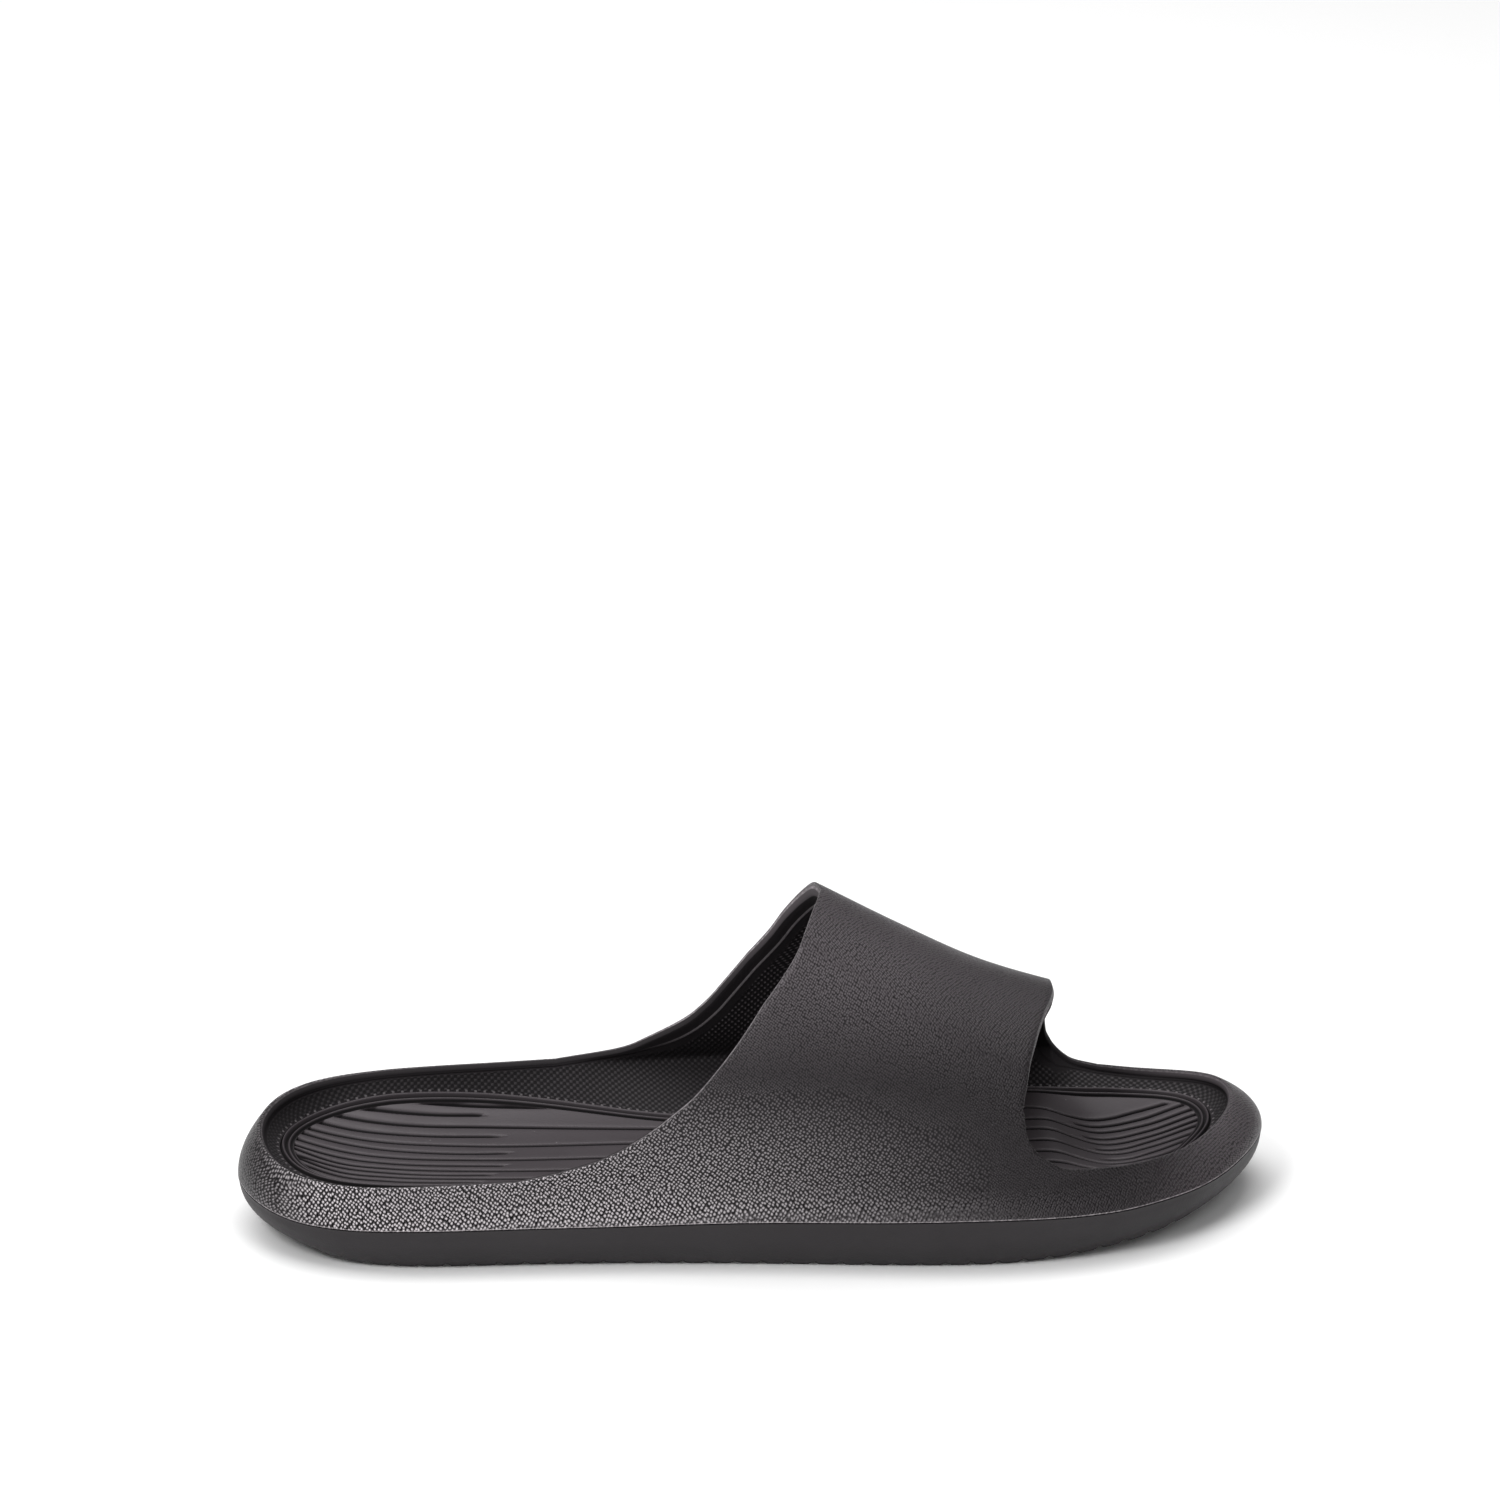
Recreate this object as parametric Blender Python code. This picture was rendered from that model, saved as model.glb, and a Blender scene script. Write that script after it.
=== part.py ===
"""Sport slide sandal, right shoe: a moulded upper, a ribbed footbed and a treaded sole.

Metres, +Z up, +X towards the toe, +Y towards the inner (medial) side of the foot. The origin
is on the floor, under the middle of the whole shoe. Run it with blender --background --python.
"""
import bmesh
import bpy
import numpy as np

# Driving sizes, in metres
LENGTH = 0.290
BALL_WIDTH = 0.1045
HEEL_WIDTH = 0.0825
INSTEP_HEIGHT = 0.0935
STRAP_FRONT_HEIGHT = 0.0618
PARTING_HEIGHT = 0.0145
RIM_HEIGHT = 0.0250
BED_HEIGHT = 0.0205
HEEL_LIFT = 0.0046
TOE_SPRING = 0.0050

# Walls and edges
STRAP_WALL = 0.0040
RIM_WALL = 0.0024
WALL_BLEND = 0.0200
EDGE_ROUND = 0.0007
RING_WIDTH = 0.0120
SIDE_LEAN = 0.0055
TOE_LEAN = 0.0080
CREASE_HEIGHT = 0.0100
RIDGE_OFFSET = 0.0030
SEAT_GAP = 0.0003

# Footbed bead, grooves and toe bar
BEAD_WIDTH = 0.0030
BEAD_HEIGHT = 0.0009
GROOVE_WIDTH = 0.0016
GROOVE_DEPTH = 0.0010
GROOVES = 7
RIB_ROOM = 2.0
GROOVE_FADE = 0.6
TOE_DIP = 0.0038

# Sole band and tread
BAND_TUCK = 0.0062
BAND_ROUND = 2.3
TREAD_PITCH = 0.0072
TREAD_GROOVE = 0.0024
TREAD_DEPTH = 0.0018
TREAD_WAVE = 0.0030
TREAD_WAVES = 3
EDGE_CUT = 0.4
TREAD_FROM = 0.035
TREAD_TO = 0.965

# Where the ribs of the form fan out from, where the outline widens from the heel's width to
# the ball's, and where the toe's steeper lean starts and ends, as shares of the length
HEEL_CENTRE = 0.15
TOE_CENTRE = 0.86
WIDEN_FROM = 0.30
WIDEN_TO = 0.60
TOE_LEAN_FROM = 0.76
TOE_LEAN_TO = 0.90

# How steeply the inner slopes and the dish fall, and the spacing of the rows of faces
SLOPE_HOLLOW = 1.2
DISH_HOLLOW = 2.2
OUTER_SPACING = 1.2
INNER_SPACING = 1.6
BAND_SPACING = 1.6
SLOPE_LIMIT = 1e-6

# Rows and columns of faces
OUTLINE_SCAN = 4001
HEEL_COLUMNS = 13
EDGE_COLUMNS = 8
STRAP_COLUMNS = 8
TOE_COLUMNS = 13
LOWER_ROWS = 7
STRAP_ROWS = 9
RIM_ROWS = 3
BED_STATIONS = 40
BEAD_COLUMNS = 4
BAND_ROWS = 4
END_STATIONS = 4
WELD = 0.00001
SHARP_ANGLE = 0.7

# Round the outline, from the heel back along the outer side to the toe and back along the
# inner side. Along is a share of the length; across of half the local width; crest of the
# rim height; ring of the ring width; border of the bed height. Roll is 0 where the wall flares
# out to the sole and 1 where it rises straight and rolls in over the rim.
PERIMETER = (
    # place, along, across, crest, ring, border, roll
    ("heel back", 0.000, 0.00, 1.10, 1.00, 1.10, 1.0),
    ("heel corner, outer", 0.034, -0.63, 0.95, 0.92, 1.05, 0.9),
    ("heel, outer", 0.121, -0.97, 0.92, 0.88, 1.04, 0.4),
    ("heel end, outer", 0.259, -1.04, 0.96, 0.88, 1.05, 0.0),
    ("arch, outer", 0.414, -1.01, 0.98, 0.92, 1.06, 0.0),
    ("waist, outer", 0.569, -0.96, 0.98, 1.00, 1.05, 0.0),
    ("ball, outer", 0.690, -1.01, 0.98, 1.17, 1.02, 0.0),
    ("little toe", 0.800, -0.95, 0.98, 1.17, 0.96, 0.1),
    ("toe, outer", 0.903, -0.69, 0.94, 1.08, 0.92, 0.5),
    ("toe corner, outer", 0.972, -0.25, 0.97, 1.12, 0.91, 0.9),
    ("toe tip", 1.000, 0.17, 1.05, 1.25, 0.93, 1.0),
    ("toe corner, inner", 0.983, 0.54, 1.03, 1.25, 0.95, 0.9),
    ("big toe", 0.914, 0.82, 0.94, 1.25, 0.93, 0.6),
    ("ball front, inner", 0.786, 0.99, 0.92, 1.54, 0.93, 0.1),
    ("ball, inner", 0.655, 0.99, 0.95, 1.67, 1.00, 0.0),
    ("waist, inner", 0.517, 0.91, 1.15, 2.25, 1.02, 0.0),
    ("arch, inner", 0.448, 0.94, 1.24, 2.35, 1.02, 0.0),
    ("arch end, inner", 0.379, 0.99, 1.27, 1.88, 1.04, 0.0),
    ("heel end, inner", 0.259, 1.01, 1.24, 1.08, 1.15, 0.1),
    ("heel, inner", 0.121, 0.96, 1.20, 1.00, 1.19, 0.4),
    ("heel corner, inner", 0.034, 0.63, 1.19, 1.00, 1.10, 0.9),
)

# The two edges of the strap on each side. Turn is the share of a quarter turn from the rim's
# crest up to the ridge; the others are shares of the length.
STRAP_EDGES = (
    # turn, collar outer, collar inner, front outer, front inner
    (0.00, 0.264, 0.312, 0.838, 0.852),
    (0.02, 0.308, 0.374, 0.788, 0.829),
    (0.05, 0.349, 0.404, 0.771, 0.818),
    (0.10, 0.387, 0.439, 0.756, 0.808),
    (0.15, 0.415, 0.460, 0.747, 0.802),
    (0.20, 0.438, 0.475, 0.744, 0.798),
    (0.30, 0.471, 0.501, 0.743, 0.795),
    (0.40, 0.497, 0.521, 0.748, 0.794),
    (0.50, 0.518, 0.534, 0.753, 0.793),
    (0.60, 0.534, 0.545, 0.760, 0.792),
    (0.70, 0.544, 0.553, 0.767, 0.791),
    (0.80, 0.552, 0.558, 0.775, 0.790),
    (0.90, 0.559, 0.561, 0.783, 0.789),
    (1.00, 0.564, 0.564, 0.788, 0.788),
)
SHOULDER = 6

# The ridge of the strap. Along is a share of the length; rise is the share of the way up
# from the strap's front height to the instep height.
RIDGE = (
    # along, rise
    (0.500, 1.32),
    (0.563, 1.00),
    (0.640, 0.60),
    (0.720, 0.22),
    (0.788, 0.00),
    (0.850, -0.14),
)

# Heights along the shoe, as shares of the parting height, the bed height, the toe dip, the
# heel lift and the toe spring.
LENGTHWISE = (
    # along, parting, bed, dip, heel, toe
    (0.00, 1.00, 1.02, 0.0, 1.00, 0.00),
    (0.05, 0.88, 1.00, 0.0, 0.80, 0.00),
    (0.10, 0.87, 0.99, 0.0, 0.24, 0.00),
    (0.15, 0.89, 0.98, 0.0, 0.04, 0.00),
    (0.21, 0.90, 0.97, 0.0, 0.00, 0.00),
    (0.36, 0.93, 0.98, 0.0, 0.00, 0.00),
    (0.48, 1.01, 0.98, 0.0, 0.00, 0.00),
    (0.60, 1.04, 0.98, 0.0, 0.00, 0.00),
    (0.72, 1.06, 0.98, 0.0, 0.00, 0.00),
    (0.76, 1.04, 0.98, 0.0, 0.00, 0.10),
    (0.79, 1.02, 0.97, 0.0, 0.00, 0.20),
    (0.81, 1.01, 0.96, 0.5, 0.00, 0.30),
    (0.83, 1.00, 0.96, 1.0, 0.00, 0.40),
    (0.88, 1.02, 0.94, 0.8, 0.00, 0.66),
    (0.94, 1.04, 0.93, 0.3, 0.00, 0.94),
    (1.00, 1.17, 0.93, 0.1, 0.00, 1.05),
)

BLACK_GRAIN = (0.022, 0.020, 0.022)
BLACK_SMOOTH = (0.019, 0.017, 0.019)
BLACK_SATIN = (0.026, 0.024, 0.027)


def clear_scene():
    """Remove every object that the new scene starts with."""
    for item in list(bpy.data.objects):
        bpy.data.objects.remove(item, do_unlink=True)


def smoothstep(value):
    """Ease from 0 to 1 as the value goes from 0 to 1."""
    share = np.clip(value, 0.0, 1.0)
    return share * share * (3.0 - 2.0 * share)


def column(table, index):
    """One column of a table, as numbers."""
    return np.array([row[index] for row in table], float)


def curve_through(places, values, at):
    """Smooth open curve: cubic pieces whose slopes are the table's own running slopes."""
    slopes = np.gradient(values, places)
    at = np.clip(at, places[0], places[-1])
    piece = np.clip(np.searchsorted(places, at, side="right") - 1, 0, len(places) - 2)
    step = places[piece + 1] - places[piece]
    t = (at - places[piece]) / step
    start = values[piece] * (1 + 2 * t) * (1 - t) ** 2 + slopes[piece] * step * t * (1 - t) ** 2
    end = values[piece + 1] * t * t * (3 - 2 * t) - slopes[piece + 1] * step * t * t * (1 - t)
    return start + end


class ClosedCurve:
    """Closed cubic spline through rows of values, with smooth slope and bend all round."""

    def __init__(self, values):
        rows = np.array(values, float)
        chords = np.linalg.norm(np.roll(rows, -1, axis=0)[:, :2] - rows[:, :2], axis=1)
        self.knots = np.concatenate(([0.0], np.cumsum(np.sqrt(chords))))
        self.rows = np.vstack([rows, rows[:1]])
        after = np.diff(self.knots)
        before = np.roll(after, 1)
        index = np.arange(len(rows))
        matrix = np.diag((before + after) / 3)
        matrix[index, (index + 1) % len(rows)] += after / 6
        matrix[index, index - 1] += before / 6
        rise = (np.roll(rows, -1, axis=0) - rows) / after[:, None]
        fall = (rows - np.roll(rows, 1, axis=0)) / before[:, None]
        bends = np.linalg.solve(matrix, rise - fall)
        self.bends = np.vstack([bends, bends[:1]])

    def at(self, place):
        place = np.mod(place, self.knots[-1])
        piece = np.searchsorted(self.knots, place, side="right") - 1
        piece = np.clip(piece, 0, len(self.knots) - 2)
        step = (self.knots[piece + 1] - self.knots[piece])[..., None]
        b = (place - self.knots[piece])[..., None] / step
        a = 1.0 - b
        line = a * self.rows[piece] + b * self.rows[piece + 1]
        bow = (a ** 3 - a) * self.bends[piece] + (b ** 3 - b) * self.bends[piece + 1]
        return line + bow * step ** 2 / 6


class Outline:
    """The plan outline, with crest height, ring width and border height at every place."""

    def __init__(self):
        rows = []
        for _, along, across, crest, ring, border, roll in PERIMETER:
            widen = smoothstep((along - WIDEN_FROM) / (WIDEN_TO - WIDEN_FROM))
            half = 0.5 * (HEEL_WIDTH + (BALL_WIDTH - HEEL_WIDTH) * widen)
            rows.append((
                along * LENGTH, across * half, crest * RIM_HEIGHT,
                ring * RING_WIDTH, border * BED_HEIGHT, roll,
            ))
        self.curve = ClosedCurve(rows)
        round_trip = np.linspace(0.0, self.curve.knots[-1], OUTLINE_SCAN)
        raw = self.curve.at(round_trip)
        back = round_trip[np.argmin(raw[:-1, 0])]
        if back > 0.5 * round_trip[-1]:
            back -= round_trip[-1]
        self.places = back + round_trip
        raw = self.curve.at(self.places)
        self.tip = int(np.argmax(raw[:, 0]))
        self.low = raw[:, :2].min(axis=0)
        self.high = raw[:, :2].max(axis=0)
        self.scan = self.rows(self.places)

    def rows(self, place):
        """Rows of the curve, with x and y stretched to the exact length and ball width."""
        rows = self.curve.at(place)
        size = self.high - self.low
        rows[..., 0] = (rows[..., 0] - self.low[0]) * LENGTH / size[0]
        middle = 0.5 * (self.low[1] + self.high[1])
        rows[..., 1] = (rows[..., 1] - middle) * BALL_WIDTH / size[1]
        return rows

    def place_at(self, side, x):
        """The place on the outer (-1) or inner (+1) half of the outline that lies at x."""
        if side < 0:
            return np.interp(x, self.scan[:self.tip + 1, 0], self.places[:self.tip + 1])
        return np.interp(x, self.scan[self.tip:, 0][::-1], self.places[self.tip:][::-1])

    def half(self, side):
        """The places of the heel back and the toe tip, as that half counts them."""
        heel = self.places[0] if side < 0 else self.places[-1]
        return heel, self.places[self.tip]


def lengthwise(index, x):
    """One column of the lengthwise table at x."""
    return curve_through(column(LENGTHWISE, 0) * LENGTH, column(LENGTHWISE, index), x)


def parting_height(x):
    """Height of the line where the upper sits on the sole."""
    return PARTING_HEIGHT * lengthwise(1, x)


def bed_height(x):
    """Height of the middle of the footbed, with the dip behind the toe bar."""
    return BED_HEIGHT * lengthwise(2, x) - TOE_DIP * lengthwise(3, x)


def bottom_height(x):
    """Height of the sole's bottom: lifted at the heel's back edge and sprung at the toe."""
    return np.maximum(HEEL_LIFT * lengthwise(4, x) + TOE_SPRING * lengthwise(5, x), 0.0)


def ridge_height(x):
    """Height of the strap's ridge line, also past its two ends, where it only guides."""
    rise = curve_through(column(RIDGE, 0) * LENGTH, column(RIDGE, 1), x)
    return STRAP_FRONT_HEIGHT + rise * (INSTEP_HEIGHT - STRAP_FRONT_HEIGHT)


class Ribs:
    """Straight ribs in plan, from places on the outline in towards the middle line."""

    def __init__(self, form, place):
        rows = form.rows(np.asarray(place, float))
        columns = np.moveaxis(rows, -1, 0)
        self.x, self.y, self.crest, self.ring, self.border, self.roll = columns
        self.middle_x = np.clip(self.x, HEEL_CENTRE * LENGTH, TOE_CENTRE * LENGTH)
        run_x = self.middle_x - self.x
        run_y = RIDGE_OFFSET - self.y
        self.reach = np.hypot(run_x, run_y)
        self.step_x = run_x / self.reach
        self.step_y = run_y / self.reach
        toward_toe = smoothstep((self.x / LENGTH - TOE_LEAN_FROM) / (TOE_LEAN_TO - TOE_LEAN_FROM))
        self.lean = SIDE_LEAN + (TOE_LEAN - SIDE_LEAN) * toward_toe
        self.parting = parting_height(self.x)
        self.ridge = ridge_height(self.x)

    def points(self, inset, height):
        """Points that lie at an inset along the ribs, at a height."""
        x = self.x + self.step_x * inset - 0.5 * LENGTH
        y = self.y + self.step_y * inset
        return np.stack(np.broadcast_arrays(x, y, height), axis=-1)

    def ground(self, inset):
        """The x of such points, counted from the heel back."""
        return self.x + self.step_x * inset

    def shares(self, height):
        """How far up the flare and the dome a height lies."""
        over = height - self.parting
        flare = np.clip(over / (self.crest - self.parting), 0.0, 1.0)
        dome = np.clip(over / (self.ridge - self.parting), 0.0, 1.0)
        return flare, dome

    def outer_inset(self, height):
        """Inset of the outer face: a flare or a roll up to the rim, then an ellipse."""
        flare, dome = self.shares(height)
        lean = self.lean * ((1.0 - self.roll) * (1.0 - (1.0 - flare) ** 2) + self.roll * flare ** 2)
        return lean + (self.reach - self.lean) * (1.0 - np.sqrt(1.0 - dome ** 2))

    def outer_slope(self, height):
        """How fast that inset grows with height."""
        flare, dome = self.shares(height)
        dome = np.minimum(dome, 1.0 - SLOPE_LIMIT)
        lean = 2.0 * self.lean * ((1.0 - self.roll) * (1.0 - flare) + self.roll * flare)
        rise = (self.reach - self.lean) * dome / np.sqrt(1.0 - dome ** 2)
        return lean / (self.crest - self.parting) + rise / (self.ridge - self.parting)

    def wall(self, height):
        """Wall thickness: thin at the rim, full on the strap."""
        grown = smoothstep((height - RIM_HEIGHT) / WALL_BLEND)
        return RIM_WALL + (STRAP_WALL - RIM_WALL) * grown

    def lining(self, height):
        """Inset and height of the point a wall's thickness inside the outer face."""
        slope = self.outer_slope(height)
        size = np.sqrt(1.0 + slope ** 2)
        wall = self.wall(height)
        return self.outer_inset(height) + wall / size, height - wall * slope / size

    def level_lining(self, height):
        """Inset of the inner face at a height, with the wall measured square to the face."""
        slope = self.outer_slope(height)
        return self.outer_inset(height) + self.wall(height) * np.sqrt(1.0 + slope ** 2)


def edge_row(index, step):
    """Where a strap edge is at a step down its table: the share of height and the x."""
    steps = np.arange(len(STRAP_EDGES), dtype=float)
    turn = curve_through(steps, column(STRAP_EDGES, 0), step)
    along = curve_through(steps, column(STRAP_EDGES, index), step)
    return np.sin(0.5 * np.pi * turn), along * LENGTH


def edge_columns(side):
    """The table columns of the collar edge and the front edge on a side."""
    return (1, 3) if side < 0 else (2, 4)


def lower_columns(form, side):
    """Places and top heights of the columns that rise from the sole, heel to toe."""
    collar, front = edge_columns(side)
    heel, tip = form.half(side)
    rise = np.linspace(0.0, SHOULDER, EDGE_COLUMNS + 1)
    collar_share, collar_x = edge_row(collar, rise)
    front_share, front_x = edge_row(front, rise[::-1])
    strap_x = np.linspace(collar_x[-1], front_x[0], STRAP_COLUMNS + 1)
    strap_share = np.full(STRAP_COLUMNS + 1, collar_share[-1])
    heel_places = np.linspace(heel, form.place_at(side, collar_x[0]), HEEL_COLUMNS + 1)
    toe_places = np.linspace(form.place_at(side, front_x[-1]), tip, TOE_COLUMNS + 1)
    x = np.concatenate((collar_x, strap_x[1:-1], front_x))
    places = np.concatenate((heel_places[:-1], form.place_at(side, x), toe_places[1:]))
    rise = np.concatenate((
        np.zeros(HEEL_COLUMNS), collar_share, strap_share[1:-1], front_share, np.zeros(TOE_COLUMNS),
    ))
    return places, rise


def lower_sheets(form, side):
    """Outer and inner faces of the columns from the sole up to the rim or the shoulder."""
    places, rise = lower_columns(form, side)
    ribs = Ribs(form, places[:, None])
    top = ribs.crest + rise[:, None] * (ribs.ridge - ribs.crest)
    seat = ribs.parting + 0.5 * SEAT_GAP
    share = np.linspace(0.0, 1.0, LOWER_ROWS + 1)[None, :]
    height = seat + (top - seat) * share ** OUTER_SPACING
    outer = ribs.points(ribs.outer_inset(height), height)

    edge_inset, edge_height = ribs.lining(top)
    room = edge_height - ribs.border
    height = ribs.border + room * share ** INNER_SPACING
    shift = edge_inset - ribs.level_lining(edge_height)
    inset = ribs.level_lining(height) + shift * share ** INNER_SPACING
    left = np.clip(1.0 - (height - ribs.border) / np.minimum(CREASE_HEIGHT, room), 0.0, 1.0)
    base = ribs.level_lining(ribs.border)
    inset = inset + (ribs.ring - base) * left ** SLOPE_HOLLOW
    wall = ribs.points(inset, height)
    foot_height = parting_height(ribs.ground(ribs.ring)) + 0.5 * SEAT_GAP
    foot = ribs.points(ribs.ring, foot_height)
    return outer, np.concatenate((foot, wall), axis=1)


def upper_sheets(form, side):
    """Outer and inner faces of the strap, from its shoulder up to the ridge."""
    collar, front = edge_columns(side)
    steps = np.linspace(SHOULDER, len(STRAP_EDGES) - 1.0, STRAP_ROWS + 1)
    collar_share, collar_x = edge_row(collar, steps)
    front_share, front_x = edge_row(front, steps)
    share = np.linspace(0.0, 1.0, STRAP_COLUMNS + 1)[:, None]
    x = collar_x + (front_x - collar_x) * share
    rise = collar_share + (front_share - collar_share) * share
    ribs = Ribs(form, form.place_at(side, x))
    height = ribs.crest + rise * (ribs.ridge - ribs.crest)
    outer = ribs.points(ribs.outer_inset(height), height)
    inset, level = ribs.lining(height)
    inner = ribs.points(inset, level)
    inner[:, -1, 1] = outer[:, -1, 1]
    return outer, inner


def rim_strip(outer, inner, inside):
    """Rounded edge between the outer and inner faces along one closed loop of points."""
    along = np.roll(outer, -1, axis=0) - np.roll(outer, 1, axis=0)
    across = inner - outer
    out = np.cross(along, across)
    out /= np.linalg.norm(out, axis=1)[:, None]
    out *= np.sign(np.sum(out * (outer - inside), axis=1))[:, None]
    rows = []
    for turn in np.linspace(0.0, np.pi, RIM_ROWS + 1):
        share = 0.5 - 0.5 * np.cos(turn)
        rows.append(outer + across * share + out * EDGE_ROUND * np.sin(turn))
    strip = np.stack(rows, axis=1)
    return np.concatenate((strip, strip[:1]), axis=0)


def opening_loops(lower, upper):
    """The two loops of edge points, with a point inside the sheet next to each of them."""
    first = HEEL_COLUMNS + EDGE_COLUMNS
    last = first + STRAP_COLUMNS
    loops = []
    for start, stop, column_at, next_at in ((0, first, 0, 1), (last, None, -1, -2)):
        halves = []
        for side in (-1, 1):
            low = lower[side][start:stop]
            edge = low[:, -1]
            inside = low[:, -2]
            high = upper[side][column_at]
            high_inside = upper[side][next_at]
            if column_at == 0:
                halves.append((np.concatenate((edge, high)), np.concatenate((inside, high_inside))))
            else:
                edge = edge[1:]
                inside = inside[1:]
                halves.append((
                    np.concatenate((edge[::-1], high)), np.concatenate((inside[::-1], high_inside)),
                ))
        edge = np.concatenate((halves[0][0], halves[1][0][::-1][1:-1]))
        inside = np.concatenate((halves[0][1], halves[1][1][::-1][1:-1]))
        loops.append((edge, inside))
    return loops


def add_sheet(mesh, points, flip=False):
    """Add a grid of points to a mesh as four-sided faces."""
    rows, columns = points.shape[:2]
    corners = [mesh.verts.new(point) for point in points.reshape(-1, 3)]
    for i in range(rows - 1):
        for j in range(columns - 1):
            a = i * columns + j
            face = [corners[a], corners[a + columns], corners[a + columns + 1], corners[a + 1]]
            mesh.faces.new(face[::-1] if flip else face)


def finish_mesh(name, mesh, material, collection):
    """Weld the sheets into one closed body, turn its faces outwards and make the object."""
    bmesh.ops.remove_doubles(mesh, verts=mesh.verts, dist=WELD)
    bmesh.ops.dissolve_degenerate(mesh, edges=mesh.edges, dist=WELD)
    bmesh.ops.recalc_face_normals(mesh, faces=mesh.faces)
    data = bpy.data.meshes.new(name)
    mesh.to_mesh(data)
    mesh.free()
    data.shade_smooth()
    data.set_sharp_from_angle(angle=SHARP_ANGLE)
    data.materials.append(material)
    item = bpy.data.objects.new(name, data)
    collection.objects.link(item)
    return item


def build_upper(form, material, collection):
    """The moulded upper: a rim wall all round with the strap over the instep."""
    mesh = bmesh.new()
    lower_outer, lower_inner, upper_outer, upper_inner = {}, {}, {}, {}
    for side in (-1, 1):
        lower_outer[side], lower_inner[side] = lower_sheets(form, side)
        upper_outer[side], upper_inner[side] = upper_sheets(form, side)
        add_sheet(mesh, lower_outer[side], side > 0)
        add_sheet(mesh, upper_outer[side], side > 0)
        add_sheet(mesh, lower_inner[side], side < 0)
        add_sheet(mesh, upper_inner[side], side < 0)
        base = np.stack((lower_outer[side][:, 0], lower_inner[side][:, 0]), axis=1)
        add_sheet(mesh, base, side < 0)
    outer_loops = opening_loops(lower_outer, upper_outer)
    inner_loops = opening_loops(lower_inner, upper_inner)
    for (edge, inside), (lining, _) in zip(outer_loops, inner_loops):
        add_sheet(mesh, rim_strip(edge, lining, inside))
    return finish_mesh("upper", mesh, material, collection)


class PlanFinder:
    """Finds, for any point in plan, its rib and how far in from the outline it lies."""

    def __init__(self, form):
        self.form = form
        self.fans = []
        for share, turned in ((HEEL_CENTRE, -1.0), (TOE_CENTRE, 1.0)):
            centre = share * LENGTH
            forward = turned * (form.scan[:, 0] - centre)
            angle = np.arctan2(form.scan[:, 1] - RIDGE_OFFSET, forward)
            places = form.places
            if turned < 0.0:
                inner_half = places > places[form.tip]
                places = np.where(inner_half, places - form.curve.knots[-1], places)
            fan = forward >= 0.0
            order = np.argsort(angle[fan])
            self.fans.append((centre, turned, angle[fan][order], places[fan][order]))

    def rib_places(self, x, y):
        """The place on the outline of the rib through each point."""
        place = np.where(y < RIDGE_OFFSET, self.form.place_at(-1, x), self.form.place_at(1, x))
        for centre, turned, angles, places in self.fans:
            beyond = turned * (x - centre) > 0.0
            angle = np.arctan2(y - RIDGE_OFFSET, turned * (x - centre))
            place = np.where(beyond, np.interp(angle, angles, places), place)
        return place


def bed_surface(finder, x, y):
    """Height of the footbed's top: a shallow dish with a bead along its border."""
    ribs = Ribs(finder.form, finder.rib_places(x, y))
    inset = np.hypot(x - ribs.x, y - ribs.y) - ribs.ring
    room = np.maximum(ribs.reach - ribs.ring, BEAD_WIDTH)
    share = np.clip(inset / room, 0.0, 1.0)
    middle = bed_height(x)
    dish = middle + (ribs.border - middle) * (1.0 - share) ** DISH_HOLLOW
    over = np.clip(inset / BEAD_WIDTH, 0.0, 1.0)
    bead = BEAD_HEIGHT * np.sin(np.pi * over)
    return dish + bead


def footbed_sections(form):
    """Sections across the footbed, heel to toe, as its two border points and their ribs."""
    heel, tip = form.half(-1)
    share = np.linspace(0.0, 1.0, BED_STATIONS + 1)
    outer = heel + (tip - heel) * share
    x = form.rows(outer)[:, 0]
    inner = form.place_at(1, x)
    inner[0], inner[-1] = form.half(1)
    ends = []
    for place in (outer, inner):
        ribs = Ribs(form, place)
        ends.append(ribs.points(ribs.ring + SEAT_GAP, 0.0))
    return ends


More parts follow.
